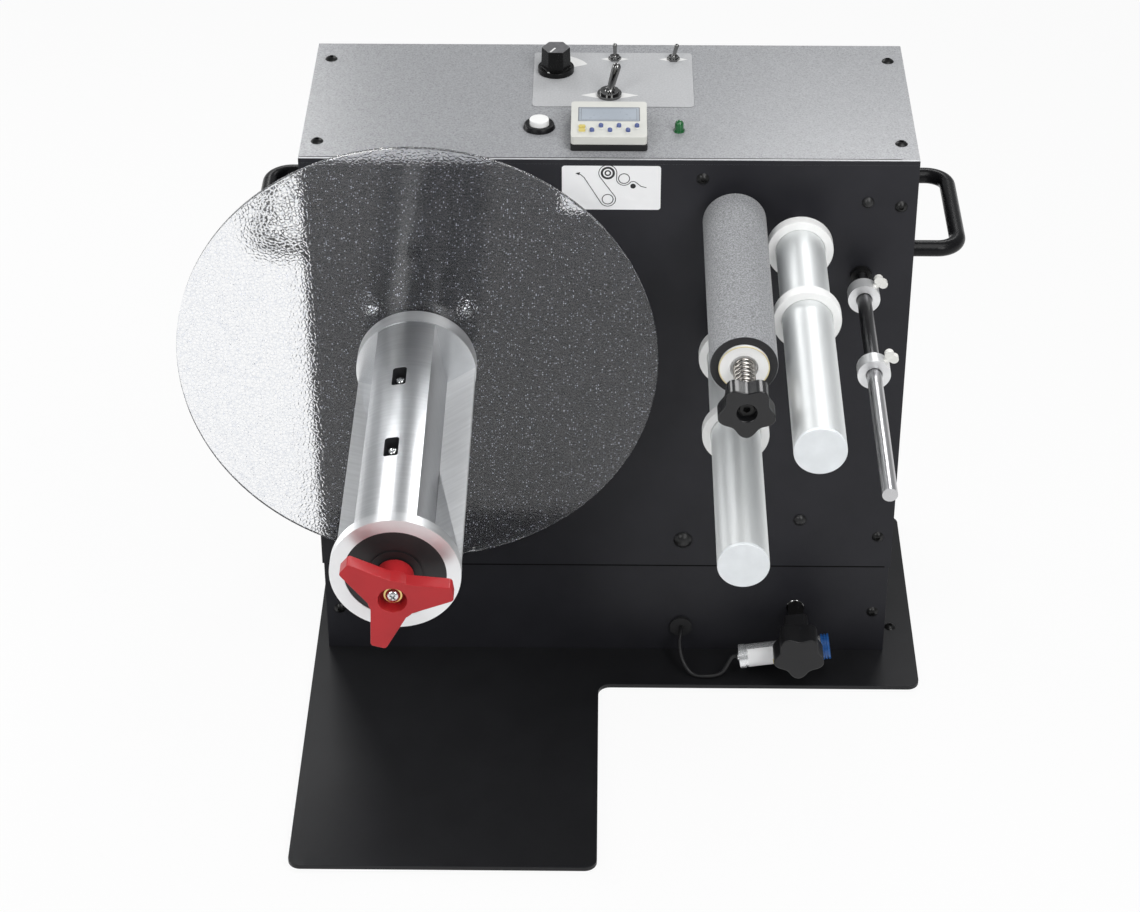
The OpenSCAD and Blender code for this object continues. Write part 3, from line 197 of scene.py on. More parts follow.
def stroke(name, line, width, lift, material, plane="front", thick=0.025):
    """A thin drawn line of even width along points in millimetres on a panel, closed if its ends meet."""
    loop = (Vector(line[0]) - Vector(line[-1])).length < 0.001
    points = [Vector(p) for p in (line[:-1] if loop else line)]
    sections = []
    for i, p in enumerate(points):
        before = points[i - 1] if loop else points[max(i - 1, 0)]
        after = points[(i + 1) % len(points)] if loop else points[min(i + 1, len(points) - 1)]
        d = (after - before).normalized()
        side = Vector((-d.y, d.x)) * width / 2
        left, right, under = p + side, p - side, lift - thick
        corners = ((left, under), (right, under), (right, lift), (left, lift))
        sections.append([on_panel(q.x, q.y, h, plane) for q, h in corners])
    return loft(name, sections, material, loop)


def join(name, objs):
    mesh = bmesh.new()
    for o in objs:
        mesh.from_mesh(o.data)
    out = objs[0]
    mesh.to_mesh(out.data)
    mesh.free()
    for o in objs[1:]:
        bpy.data.objects.remove(o)
    out.name = name
    return out


# Materials: each has its own grain, mottling and gloss variation, in metres of the object
def socket(shader, name, value):
    shader.inputs[name].default_value = value


def surface(name, color, rough, metal=0.0, mottle=0.12, mottle_scale=60.0, grain=900.0, bump=0.05,
            depth=0.0002, gloss=0.08, stretch=(1, 1, 1), spec=0.5, coat=0.0, sheen=0.0, brushed=0.0):
    """A finish: mottle and bump are strengths, their scales and the grain count per metre."""
    mat = bpy.data.materials.new(name)
    mat.use_nodes = True
    tree = mat.node_tree
    link = tree.links.new
    shader = tree.nodes["Principled BSDF"]
    socket(shader, "Metallic", metal)
    socket(shader, "Specular IOR Level", spec)
    socket(shader, "IOR", 1.45)
    socket(shader, "Coat Weight", coat)
    socket(shader, "Sheen Weight", sheen)
    if brushed:
        socket(shader, "Anisotropic", brushed)
        socket(shader, "Anisotropic Rotation", 0.25)
        around = tree.nodes.new("ShaderNodeTangent")
        around.direction_type = "RADIAL"
        around.axis = "Y"
        link(around.outputs["Tangent"], shader.inputs["Tangent"])
    place = tree.nodes.new("ShaderNodeTexCoord")
    warp = tree.nodes.new("ShaderNodeMapping")
    warp.inputs["Scale"].default_value = stretch
    link(place.outputs["Object"], warp.inputs["Vector"])
    broad = tree.nodes.new("ShaderNodeTexNoise")
    broad.inputs["Scale"].default_value = mottle_scale
    broad.inputs["Detail"].default_value = 4
    link(warp.outputs["Vector"], broad.inputs["Vector"])
    ramp = tree.nodes.new("ShaderNodeValToRGB")
    low = [max(c * (1 - mottle), 0) for c in color]
    high = [min(c * (1 + mottle), 1) for c in color]
    ramp.color_ramp.elements[0].position = 0.3
    ramp.color_ramp.elements[1].position = 0.7
    ramp.color_ramp.elements[0].color = (*low, 1)
    ramp.color_ramp.elements[1].color = (*high, 1)
    link(broad.outputs["Fac"], ramp.inputs["Fac"])
    link(ramp.outputs["Color"], shader.inputs["Base Color"])
    fine = tree.nodes.new("ShaderNodeTexNoise")
    fine.inputs["Scale"].default_value = grain
    fine.inputs["Detail"].default_value = 3
    link(warp.outputs["Vector"], fine.inputs["Vector"])
    level = tree.nodes.new("ShaderNodeMapRange")
    level.inputs["To Min"].default_value = max(rough - gloss, 0.02)
    level.inputs["To Max"].default_value = min(rough + gloss, 1)
    link(fine.outputs["Fac"], level.inputs["Value"])
    link(level.outputs["Result"], shader.inputs["Roughness"])
    if bump:
        rise = tree.nodes.new("ShaderNodeBump")
        rise.inputs["Strength"].default_value = bump
        rise.inputs["Distance"].default_value = depth
        link(fine.outputs["Fac"], rise.inputs["Height"])
        link(rise.outputs["Normal"], shader.inputs["Normal"])
    return mat


def pebbled(name, middle):
    """Clear sheet, smooth in front and finely pebbled behind, with a faint blue tint, painted shade along the
    pebbles' edges and small white spots painted in as glints.
    """
    mat = bpy.data.materials.new(name)
    mat.use_nodes = True
    tree = mat.node_tree
    link = tree.links.new
    shader = tree.nodes["Principled BSDF"]
    socket(shader, "Transmission Weight", 1.0)
    socket(shader, "IOR", 1.49)
    place = tree.nodes.new("ShaderNodeTexCoord")
    noise = tree.nodes.new("ShaderNodeTexNoise")
    noise.inputs["Scale"].default_value = 420
    noise.inputs["Detail"].default_value = 3
    cells = tree.nodes.new("ShaderNodeTexVoronoi")
    cells.feature = "DISTANCE_TO_EDGE"
    cells.inputs["Scale"].default_value = 410
    glint_cells = tree.nodes.new("ShaderNodeTexVoronoi")
    glint_cells.inputs["Scale"].default_value = 820
    for node in (noise, cells, glint_cells):
        link(place.outputs["Object"], node.inputs["Vector"])
    # The pebbles' edges darken the tint: painted shade in the creases between them.
    crease_shade = tree.nodes.new("ShaderNodeMapRange")
    crease_shade.inputs["From Max"].default_value = 0.22
    link(cells.outputs["Distance"], crease_shade.inputs["Value"])
    mix = tree.nodes.new("ShaderNodeMix")
    mix.inputs["Factor"].default_value = 0.5
    link(crease_shade.outputs["Result"], mix.inputs["A"])
    link(noise.outputs["Fac"], mix.inputs["B"])
    tint_and_crease_shade = tree.nodes.new("ShaderNodeValToRGB")
    tint_and_crease_shade.color_ramp.elements[0].position = 0.25
    tint_and_crease_shade.color_ramp.elements[0].color = (0.74, 0.765, 0.815, 1)
    tint_and_crease_shade.color_ramp.elements[1].position = 0.52
    tint_and_crease_shade.color_ramp.elements[1].color = (0.995, 0.997, 1.0, 1)
    link(mix.outputs["Result"], tint_and_crease_shade.inputs["Fac"])
    link(tint_and_crease_shade.outputs["Color"], shader.inputs["Base Color"])
    parts = tree.nodes.new("ShaderNodeSeparateXYZ")
    link(place.outputs["Object"], parts.inputs["Vector"])
    rear = tree.nodes.new("ShaderNodeMapRange")
    rear.inputs["From Min"].default_value = middle - 0.0004
    rear.inputs["From Max"].default_value = middle + 0.0004
    rear.inputs["To Min"].default_value = 0.06
    link(parts.outputs["Y"], rear.inputs["Value"])
    high = tree.nodes.new("ShaderNodeMath")
    high.operation = "MULTIPLY"
    link(mix.outputs["Result"], high.inputs[0])
    link(rear.outputs["Result"], high.inputs[1])
    rise = tree.nodes.new("ShaderNodeBump")
    rise.inputs["Strength"].default_value = 0.8
    rise.inputs["Distance"].default_value = 0.00035
    link(high.outputs["Value"], rise.inputs["Height"])
    link(rise.outputs["Normal"], shader.inputs["Normal"])
    level = tree.nodes.new("ShaderNodeMapRange")
    level.inputs["To Min"].default_value = 0.03
    level.inputs["To Max"].default_value = 0.13
    link(noise.outputs["Fac"], level.inputs["Value"])
    link(level.outputs["Result"], shader.inputs["Roughness"])
    # Small white diffuse spots mixed into the sheet: painted glints of the pebbles catching the lamps.
    near = tree.nodes.new("ShaderNodeMapRange")
    near.inputs["From Min"].default_value = 0.20
    near.inputs["From Max"].default_value = 0.34
    near.inputs["To Min"].default_value = 1.0
    near.inputs["To Max"].default_value = 0.0
    link(glint_cells.outputs["Distance"], near.inputs["Value"])
    hue = tree.nodes.new("ShaderNodeSeparateColor")
    link(glint_cells.outputs["Color"], hue.inputs["Color"])
    rare = tree.nodes.new("ShaderNodeMapRange")
    rare.inputs["From Min"].default_value = 0.78
    rare.inputs["From Max"].default_value = 0.98
    rare.inputs["To Max"].default_value = 0.9
    link(hue.outputs["Red"], rare.inputs["Value"])
    share = tree.nodes.new("ShaderNodeMath")
    share.operation = "MULTIPLY"
    link(near.outputs["Result"], share.inputs[0])
    link(rare.outputs["Result"], share.inputs[1])
    painted_glint = tree.nodes.new("ShaderNodeBsdfDiffuse")
    painted_glint.inputs["Color"].default_value = (0.82, 0.86, 1.0, 1)
    blend = tree.nodes.new("ShaderNodeMixShader")
    link(share.outputs["Value"], blend.inputs["Fac"])
    link(shader.outputs["BSDF"], blend.inputs[1])
    link(painted_glint.outputs["BSDF"], blend.inputs[2])
    link(blend.outputs["Shader"], tree.nodes["Material Output"].inputs["Surface"])
    return mat


def paint_panel_reflection(mat, dark, first, last):
    """Darkens a finish towards the panel, between two depths in metres: a painted reflection of the black
    panel.
    """
    tree = mat.node_tree
    shader = tree.nodes["Principled BSDF"]
    old = shader.inputs["Base Color"].links[0].from_socket
    place = tree.nodes.new("ShaderNodeTexCoord")
    parts = tree.nodes.new("ShaderNodeSeparateXYZ")
    tree.links.new(place.outputs["Object"], parts.inputs["Vector"])
    level = tree.nodes.new("ShaderNodeMapRange")
    level.inputs["From Min"].default_value = first
    level.inputs["From Max"].default_value = last
    tree.links.new(parts.outputs["Y"], level.inputs["Value"])
    mix = tree.nodes.new("ShaderNodeMix")
    mix.data_type = "RGBA"
    mix.inputs["B"].default_value = (*dark, 1)
    tree.links.new(level.outputs["Result"], mix.inputs["Factor"])
    tree.links.new(old, mix.inputs["A"])
    tree.links.new(mix.outputs["Result"], shader.inputs["Base Color"])


def foam_skin(name):
    """Closed foam: speckled grey on the outside, nearly black on the cut ends."""
    mat = surface(name, (0.25, 0.255, 0.265), 0.92, mottle=0.52, mottle_scale=1000, grain=1700, bump=0.5,
                  depth=0.0006, gloss=0.06, spec=0.25, sheen=0.25)
    tree = mat.node_tree
    shader = tree.nodes["Principled BSDF"]
    old = shader.inputs["Base Color"].links[0].from_socket
    face = tree.nodes.new("ShaderNodeNewGeometry")
    parts = tree.nodes.new("ShaderNodeSeparateXYZ")
    tree.links.new(face.outputs["Normal"], parts.inputs["Vector"])
    size = tree.nodes.new("ShaderNodeMath")
    size.operation = "ABSOLUTE"
    tree.links.new(parts.outputs["Y"], size.inputs[0])
    level = tree.nodes.new("ShaderNodeMapRange")
    level.inputs["From Min"].default_value = 0.6
    level.inputs["From Max"].default_value = 0.9
    tree.links.new(size.outputs["Value"], level.inputs["Value"])
    mix = tree.nodes.new("ShaderNodeMix")
    mix.data_type = "RGBA"
    mix.inputs["B"].default_value = (0.022, 0.022, 0.024, 1)
    tree.links.new(level.outputs["Result"], mix.inputs["Factor"])
    tree.links.new(old, mix.inputs["A"])
    tree.links.new(mix.outputs["Result"], shader.inputs["Base Color"])
    return mat


black_coat = surface("black_coat", (0.0185, 0.0185, 0.0225), 0.46, grain=1400, bump=0.12, depth=0.0001,
                     spec=0.28, mottle=0.1, mottle_scale=40)
base_coat = surface("base_coat", (0.013, 0.013, 0.0145), 0.42, grain=1400, bump=0.12, depth=0.0001,
                    spec=0.3, mottle=0.1, mottle_scale=40)
grey_coat = surface("grey_coat", (0.315, 0.32, 0.333), 0.28, grain=1100, bump=0.3, depth=0.0002,
                    spec=0.45, mottle=0.24, mottle_scale=900, gloss=0.06)
handle_coat = surface("handle_coat", (0.008, 0.008, 0.009), 0.28, grain=500, bump=0.03, spec=0.2)
rubber = surface("rubber", (0.014, 0.014, 0.015), 0.6, grain=1200, bump=0.2)
cord_skin = surface("cord_skin", (0.012, 0.012, 0.013), 0.45, grain=900, bump=0.1)
black_oxide = surface("black_oxide", (0.012, 0.012, 0.012), 0.32, metal=0.4, grain=1500, bump=0.1)
zinc = surface("zinc", (0.72, 0.73, 0.74), 0.24, metal=1.0, grain=900, bump=0.08, mottle=0.1)
steel_y = surface("steel_y", (0.68, 0.68, 0.69), 0.16, metal=1.0, grain=420, bump=0.06,
                  stretch=(1, 0.06, 1), mottle=0.08)
nickel = surface("nickel", (0.20, 0.20, 0.198), 0.09, metal=1.0, grain=500, bump=0.04)
satin_nickel = surface("satin_nickel", (0.80, 0.81, 0.82), 0.27, metal=0.75, grain=800, bump=0.05,
                       stretch=(0.1, 1, 1))
spring_wire = surface("spring_wire", (0.40, 0.38, 0.355), 0.2, metal=1.0, grain=700, bump=0.06)
milled = surface("milled", (0.86, 0.87, 0.88), 0.38, metal=0.9, brushed=0.7, grain=700, bump=0.14,
                 depth=0.00015, stretch=(0.3, 3, 0.3), mottle=0.05, mottle_scale=120, gloss=0.06)
turned = surface("turned", (0.78, 0.79, 0.80), 0.32, brushed=0.7, metal=1.0, grain=600, bump=0.14,
                 depth=0.00015, stretch=(0.25, 4, 0.25), mottle=0.05, mottle_scale=140, gloss=0.06)
satin_tube = surface("satin_tube", (0.80, 0.82, 0.82), 0.52, metal=0.85, brushed=0.5, grain=700,
                     bump=0.08, stretch=(1, 0.08, 1), mottle=0.05, gloss=0.05)
collar_steel = surface("collar_steel", (0.82, 0.825, 0.83), 0.36, metal=0.6, brushed=0.5, grain=600,
                       bump=0.1, depth=0.00015, mottle=0.05, mottle_scale=140, gloss=0.06)
cast = surface("cast", (0.5, 0.51, 0.52), 0.5, metal=1.0, grain=500, bump=0.4, depth=0.0004)
# A lighter, mostly diffuse copy of the milled finish: painted light for the bright trough walls.
trough_painted_light = surface("trough_painted_light", (0.90, 0.91, 0.92), 0.45, metal=0.15, brushed=0.6, grain=700,
                      bump=0.14, depth=0.00015, stretch=(0.3, 3, 0.3), mottle=0.06, mottle_scale=120,
                      gloss=0.06, spec=0.4)
faced_steel = surface("faced_steel", (0.86, 0.87, 0.88), 0.24, metal=1.0, brushed=0.6, grain=700,
                      bump=0.12, depth=0.00015, stretch=(0.3, 3, 0.3), mottle=0.05, mottle_scale=120,
                      gloss=0.05)
# A darker copy of the turned steel: painted shade for the jaw's side walls.
jaw_side_painted_shade = surface("jaw_side_painted_shade", (0.44, 0.445, 0.455), 0.34, metal=1.0, brushed=0.7, grain=700,
                       bump=0.1, depth=0.00015, stretch=(0.3, 3, 0.3), mottle=0.06, mottle_scale=120,
                       gloss=0.06)
# Near-black for the insides of the jaw's slots: painted shade in the recesses.
slot_painted_shade = surface("slot_painted_shade", (0.035, 0.035, 0.038), 0.42, metal=0.3, grain=600, bump=0.12)
dark_steel = surface("dark_steel", (0.06, 0.06, 0.065), 0.4, metal=0.6, grain=600, bump=0.1)
board_mask = surface("board_mask", (0.02, 0.12, 0.05), 0.35, grain=300, bump=0.1, mottle=0.4,
                     mottle_scale=200)
black_plastic = surface("black_plastic", (0.012, 0.012, 0.0125), 0.38, grain=1300, bump=0.12)
knob_plastic = surface("knob_plastic", (0.013, 0.013, 0.014), 0.4, grain=1500, bump=0.22, depth=0.00015,
                       spec=0.4)
knob_sheen = surface("knob_sheen", (0.011, 0.011, 0.012), 0.2, grain=1500, bump=0.06, depth=0.00015,
                     spec=0.5)
knob_gloss = surface("knob_gloss", (0.005, 0.005, 0.005), 0.26, grain=1200, bump=0.05, spec=0.22)
knob_top = surface("knob_top", (0.12, 0.12, 0.125), 0.34, grain=900, bump=0.1, mottle=0.2, mottle_scale=400)
face_plastic = surface("face_plastic", (0.016, 0.016, 0.017), 0.45, grain=1000, bump=0.1, mottle=0.3)
red_plastic = surface("red_plastic", (0.46, 0.020, 0.025), 0.32, grain=900, bump=0.12, mottle=0.1,
                      mottle_scale=35, spec=0.4)
white_nylon = surface("white_nylon", (0.86, 0.86, 0.85), 0.38, grain=700, bump=0.06, mottle=0.03)
warm_nylon = surface("warm_nylon", (0.80, 0.795, 0.76), 0.42, grain=700, bump=0.06, mottle=0.04)
cap_nylon = surface("cap_nylon", (0.80, 0.83, 0.85), 0.34, grain=500, bump=0.1, mottle=0.05,
                    mottle_scale=90)
case_plastic = surface("case_plastic", (0.64, 0.64, 0.60), 0.42, grain=1200, bump=0.08, mottle=0.04)
display = surface("display", (0.37, 0.41, 0.46), 0.3, grain=400, bump=0.02, mottle=0.08, mottle_scale=30,
                  spec=0.3)
lamp = surface("lamp", (0.008, 0.105, 0.026), 0.10, grain=300, bump=0.05, coat=0.6, mottle=0.3,
               mottle_scale=300)
blue_plastic = surface("blue_plastic", (0.02, 0.11, 0.36), 0.3, grain=900, bump=0.08)
plate_grey = surface("plate_grey", (0.45, 0.455, 0.465), 0.5, grain=1500, bump=0.12, mottle=0.1,
                     mottle_scale=900, spec=0.35)
# Lighter than the top panel's grey: the lip's grey with a painted highlight.
lip_highlight_grey = surface("lip_highlight_grey", (0.62, 0.625, 0.64), 0.3, grain=900, bump=0.08, mottle=0.06)
print_white = surface("print_white", (0.75, 0.75, 0.74), 0.5, grain=900, bump=0.03, mottle=0.03)
sticker_white = surface("sticker_white", (0.88, 0.88, 0.885), 0.4, grain=600, bump=0.04, mottle=0.02)
ink = surface("ink", (0.02, 0.02, 0.022), 0.5, grain=900, bump=0.03)
display_edge_shade = surface("display_edge_shade", (0.20, 0.21, 0.23), 0.4, grain=900, bump=0.03, mottle=0.1)
brass = surface("brass", (0.72, 0.52, 0.22), 0.25, metal=1.0, grain=700, bump=0.08)
key_blue = surface("key_blue", (0.085, 0.115, 0.28), 0.35, grain=900, bump=0.05)
key_yellow = surface("key_yellow", (0.58, 0.48, 0.14), 0.4, grain=900, bump=0.05)
cream = surface("cream", (0.72, 0.62, 0.36), 0.45, grain=700, bump=0.05, mottle=0.06)
bar_steel = surface("bar_steel", (0.60, 0.60, 0.61), 0.3, brushed=0.6, metal=1.0, grain=420, bump=0.06,
                    stretch=(1, 0.06, 1), mottle=0.08)
# The guide bar darker towards the panel: painted reflection of the black panel in the steel.
paint_panel_reflection(bar_steel, (0.15, 0.15, 0.155), at(0, -135, 0).y, at(0, -95, 0).y)
seam_dark = surface("seam_dark", (0.004, 0.004, 0.004), 0.8, grain=900, bump=0.05, spec=0.05)
socket_dark = surface("socket_dark", (0.01, 0.01, 0.01), 0.5, grain=900, bump=0.1)
DISC_MIDDLE = -28.5
disc_sheet = pebbled("pebbled", at(0, DISC_MIDDLE, 0).y)
foam = foam_skin("foam_skin")

looks = {
    "base_plate": base_coat, "rubber_feet": rubber, "riser_box": black_coat, "front_panel": black_coat,
    "cabinet_shell": black_coat, "rear_cover": black_coat, "top_panel": grey_coat,
    "panel_screws": black_oxide, "motor_screws": zinc, "hole_plugs": black_plastic,
    "counter_base": black_plastic, "counter_case": case_plastic, "counter_window": display,
    "lamp_lens": lamp, "button_bezel": handle_coat, "switch_bodies": nickel,
    "side_handles": handle_coat, "gearbox": cast, "drive_motor": dark_steel,
    "control_board": board_mask, "mains_inlet": black_plastic, "roller_axles": steel_y,
    "guide_bar": bar_steel, "cord_grommet": rubber, "sensor_post": black_oxide,
    "sensor_cord": cord_skin, "spindle_shaft": turned, "flange_disc": disc_sheet, "chuck_body": milled,
    "chuck_face": face_plastic, "chuck_knob": red_plastic, "cam_shaft": steel_y, "chuck_jaw": turned,
    "jaw_screws": zinc, "foam_sleeve": foam, "roller_core": white_nylon, "brake_spring": spring_wire,
    "brake_washer": zinc, "brake_knob": knob_sheen, "upper_tube": satin_tube, "upper_caps": cap_nylon,
    "lower_tube": satin_tube, "lower_caps": cap_nylon, "upper_collar_rear": white_nylon,
    "upper_collar_front": white_nylon, "lower_collar_rear": white_nylon,
    "lower_collar_front": white_nylon, "guide_collar_rear": collar_steel,
    "guide_collar_front": collar_steel, "thumb_screw_rear": warm_nylon, "thumb_screw_front": warm_nylon,
    "speed_knob": knob_gloss, "direction_lever": nickel, "power_lever": nickel, "mode_lever": nickel,
    "button_cap": white_nylon, "sensor_clamp": knob_plastic, "sensor_barrel": satin_nickel,
    "sensor_lens": blue_plastic, "clamp_knob": knob_plastic,
}
for name, obj in nodes.items():
    obj.data.materials.clear()
    obj.data.materials.append(looks[name])


def repaint(node, material, inside):
    """Gives a second material to the faces whose middle, in millimetres, and normal pass a test; it carries
    finishes and also painted light and shade.
    """
    mesh = nodes[node].data
    mesh.materials.append(material)
    for face in mesh.polygons:
        if inside(nodes[node].matrix_world @ face.center * 1000 - SHIFT, face.normal):
            face.material_index = len(mesh.materials) - 1


def soften(node, width):
    """Rounds the sharp edges of a node, after its facets are joined to whole faces."""
    obj = nodes[node]
    obj.data.polygons.foreach_set("use_smooth", [True] * len(obj.data.polygons))
    weld = obj.modifiers.new("weld", "WELD")
    weld.merge_threshold = 0.00001
    flat = obj.modifiers.new("flat", "DECIMATE")
    flat.decimate_type = "DISSOLVE"
    flat.angle_limit = math.radians(0.4)
    flat.delimit = {"MATERIAL"}
    edge = obj.modifiers.new("edge", "BEVEL")
    edge.width = width / 1000
    edge.segments = 2
    edge.limit_method = "ANGLE"
    edge.angle_limit = math.radians(32)
    shade = obj.modifiers.new("shade", "WEIGHTED_NORMAL")
    shade.mode = "FACE_AREA"
    shade.weight = 90


EDGES = {
    "top_panel": 0.6, "base_plate": 0.5, "riser_box": 0.3, "front_panel": 0.3, "cabinet_shell": 0.3,
    "rear_cover": 0.3, "counter_base": 0.4, "counter_case": 0.35, "button_bezel": 0.5, "button_cap": 0.5,
    "chuck_knob": 0.5, "roller_core": 0.4, "foam_sleeve": 0.5, "brake_knob": 0.7, "clamp_knob": 1.0,
    "sensor_clamp": 0.7, "speed_knob": 0.3, "upper_caps": 0.4, "lower_caps": 0.4, "upper_collar_rear": 0.6,
    "upper_collar_front": 0.6, "lower_collar_rear": 0.6, "lower_collar_front": 0.6, "thumb_screw_rear": 0.25,
    "thumb_screw_front": 0.25, "rubber_feet": 0.5, "mains_inlet": 0.4, "hole_plugs": 0.3,
}
for node, width in EDGES.items():
    soften(node, width)

# Second finishes and painted light: black bar ends, the top panel's front edge, the knob's top, and the
# chuck's faces, where the trough walls are painted lighter and the jaw's sides and slots painted darker as
# shade
repaint("guide_bar", black_oxide, lambda p, n: p.y > -19)
repaint("top_panel", black_coat, lambda p, n: n.y < -0.7)
repaint("speed_knob", knob_top, lambda p, n: n.z > 0.9 and p.z > TOP + 15)
repaint("roller_axles", black_oxide, lambda p, n: p.y < -217)

# Sizes of the chuck, as in the part's source
SPINDLE = (-120.5, 259.3)
CHUCK_TURN = math.radians(8.6)
CHUCK_R = 37.8
JAW_W = 36
SLOT_LEN = 19
SLOT_W = 8.6
SLOTS = (104, 180)


def in_chuck(p):
    """Place of a point across the chuck: along the jaw's width and up through the jaw's middle."""
    x, z = p.x - SPINDLE[0], p.z - SPINDLE[1]
    c, s = math.cos(CHUCK_TURN), math.sin(CHUCK_TURN)
    return x * c + z * s, z * c - x * s


def trough_wall(p, n):
    across, up = in_chuck(p)
    return abs(n.y) < 0.3 and n.z > 0.2 and abs(across) > JAW_W / 2 and math.hypot(across, up) < CHUCK_R - 1


def jaw_side(p, n):
    across = in_chuck(p)[0]
    return abs(abs(across) - JAW_W / 2) < 0.2 and abs(n.y) < 0.3


def in_slot(p, n):
    across, up = in_chuck(p)
    near = min(abs(p.y + y) for y in SLOTS) < SLOT_LEN / 2 + 0.2
    return near and abs(across) < SLOT_W / 2 + 0.2 and math.hypot(across, up) < CHUCK_R - 0.5


repaint("chuck_body", faced_steel, lambda p, n: p.y > -75 and n.y < -0.5)
# The chuck's trough walls: painted light, a lighter diffuse copy of the milled finish for their bright
# reflection.
repaint("chuck_body", trough_painted_light, trough_wall)
# The jaw's side walls: painted shade, a darker copy of the turned steel.
repaint("chuck_jaw", jaw_side_painted_shade, jaw_side)
# The insides of the jaw's slots: painted shade in the recesses.
repaint("chuck_jaw", slot_painted_shade, in_slot)

# The sensor cord: the route of the part's source, face to face with the grommet and the sensor
CORD_D = 2.8
POST = (129.1, 43.0)
TILT = math.radians(9)
BARREL = 42.2
BARREL_DROP = 15
BASE_TOP = 6
CLEAR = 0.3
end_x = POST[0] + BARREL_DROP * math.sin(TILT) - BARREL * math.cos(TILT)
end_z = POST[1] - BARREL_DROP * math.cos(TILT) - BARREL * math.sin(TILT)
mid = 27.3
low = BASE_TOP + CORD_D / 2 + CLEAR
start = Vector((51.5, -1.5, 26.5))
finish = Vector((end_x, -mid, end_z))
along = Vector((math.cos(TILT), 0, math.sin(TILT)))
route = [
    start, start + Vector((0, -5, 0)), start + Vector((-1, -13, -4)), start + Vector((1, -22, -11)),
    Vector((58.5, -mid - 2, low + 1)), Vector((66.5, -mid - 4, low)), Vector((end_x - 11, -mid - 3, low + 2)),
    finish - along * 4, finish,
]


def smooth_line(points, steps):
    out = []
    for i in range(len(points) - 1):
        a, b = points[max(i - 1, 0)], points[i]
        c, d = points[i + 1], points[min(i + 2, len(points) - 1)]
        for s in range(steps):
            t = s / steps
            out.append(0.5 * (2 * b + (c - a) * t + (2 * a - 5 * b + 4 * c - d) * t * t
                              + (3 * b - a - 3 * c + d) * t * t * t))
    return out + [points[-1]]


cord_path = [at(*p) for p in smooth_line(route, 6)]
cord = tube("sensor_cord_piece", cord_path, CORD_D / 2000, cord_skin, 16)
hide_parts("sensor_cord")
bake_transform(cord)

# The brake spring: one wire, its far end at the washer
BRAKE = (78.2, 351.5)
SPRING_Y, SPRING_LEN, WIRE, SPRING_R, CURLS = 176.0, 35.0, 1.8, 5.5, 8
CURL_STEPS = 24
reach = SPRING_LEN - WIRE - 2 * CLEAR
y0 = SPRING_Y + CLEAR + WIRE / 2
coil = []
for i in range(CURLS * CURL_STEPS + 1):
    a = 2 * math.pi * i / CURL_STEPS
    y = -y0 - reach * i / (CURLS * CURL_STEPS)
    coil.append(at(BRAKE[0] + SPRING_R * math.cos(a), y, BRAKE[1] + SPRING_R * math.sin(a)))
coil = [coil[0] - Vector((0, 0, WIRE / 1000))] + coil + [coil[-1] + Vector((0, 0, WIRE / 1000))]
spring = tube("brake_spring_piece", coil, WIRE / 2000, spring_wire, 10)
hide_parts("brake_spring")
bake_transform(spring)


# Printed and stuck-on pieces: bare of words
def ring(cx, cz, r, steps=40):
    return [(cx + r * math.cos(2 * math.pi * i / steps), cz + r * math.sin(2 * math.pi * i / steps))
            for i in range(steps + 1)]


def arc(cx, cz, r, first, last, steps=14):
    return [(cx + r * math.cos(math.radians(first + (last - first) * i / steps)),
             cz + r * math.sin(math.radians(first + (last - first) * i / steps))) for i in range(steps + 1)]


name_plate = plate("name_plate", rounded(-49, 69.7, 54.2, 145.3, 3.2), 0.02, 0.5, plate_grey)
bevel(name_plate, 0.00018)
marks = []
ARROWS = ((3.6, 136, 9.0, 4.0, 2.6), (41.9, 136, 9.2, 4.0, 2.6), (0.2, 85, 18.5, 6.6, 5.0))
for cx, cy, half_w, half_h, gap in ARROWS:
    for side in (-1, 1):
        share = half_h * (half_w - gap) / half_w
        head = [(cx + side * gap, cy - share), (cx + side * half_w, cy), (cx + side * gap, cy + share)]
        marks.append(plate("mark", head, 0.52, 0.06, print_white))
knob_at = (-34.6, 118.9)
wedge = arc(*knob_at, 22.5, 25, 110, 17)
wedge += [(knob_at[0] + r * math.cos(math.radians(a)), knob_at[1] + r * math.sin(math.radians(a)))
          for a, r in ((110 - 5 * k, 19.2 - 0.39 * k) for k in range(18))]
marks.append(plate("mark", wedge, 0.52, 0.06, print_white))
plate_marks = join("plate_marks", marks)

STICKER = (-29.0, 353.6, 32.3, 384.4)
sticker = plate("path_sticker", rounded(*STICKER, 1.8), 0.02, 0.25, sticker_white, "front")


def on_sticker(u, v):
    return (STICKER[0] + u * (STICKER[2] - STICKER[0]), STICKER[3] - v * (STICKER[3] - STICKER[1]))


centres = ((0.464, 0.16), (0.628, 0.285), (0.464, 0.76), (0.72, 0.455))
brake_c, upper_c, lower_c, bar_c = (on_sticker(*c) for c in centres)
lines = []
start_p = on_sticker(0.15, 0.175)
web = [start_p, on_sticker(0.185, 0.19), on_sticker(0.225, 0.265)]
web += arc(*lower_c, 4.9, 212, 385, 18) + arc(*brake_c, 5.6, 215, 5, 18)
web += arc(*upper_c, 4.7, 190, 320, 12) + arc(*bar_c, 3.2, 125, 60, 6)
web += [on_sticker(0.80, 0.46), on_sticker(0.855, 0.49)]
lines.append(stroke("web", web, 0.5, 0.33, ink))
lines.append(stroke("upper", ring(*upper_c, 3.4), 0.55, 0.33, ink))
lines.append(stroke("lower", ring(*lower_c, 3.4), 0.55, 0.33, ink))
lines.append(stroke("brake", ring(*brake_c, 3.7), 1.4, 0.33, ink))
lines.append(stroke("brake_in", ring(*brake_c, 1.6), 0.9, 0.33, ink))
lines.append(plate("bar", ring(*bar_c, 1.7)[:-1], 0.30, 0.05, ink, "front"))
tip = [on_sticker(0.135, 0.165), on_sticker(0.185, 0.145), on_sticker(0.175, 0.21)]
lines.append(plate("tip", tip, 0.30, 0.05, ink, "front"))
path_drawing = join("path_drawing", lines)
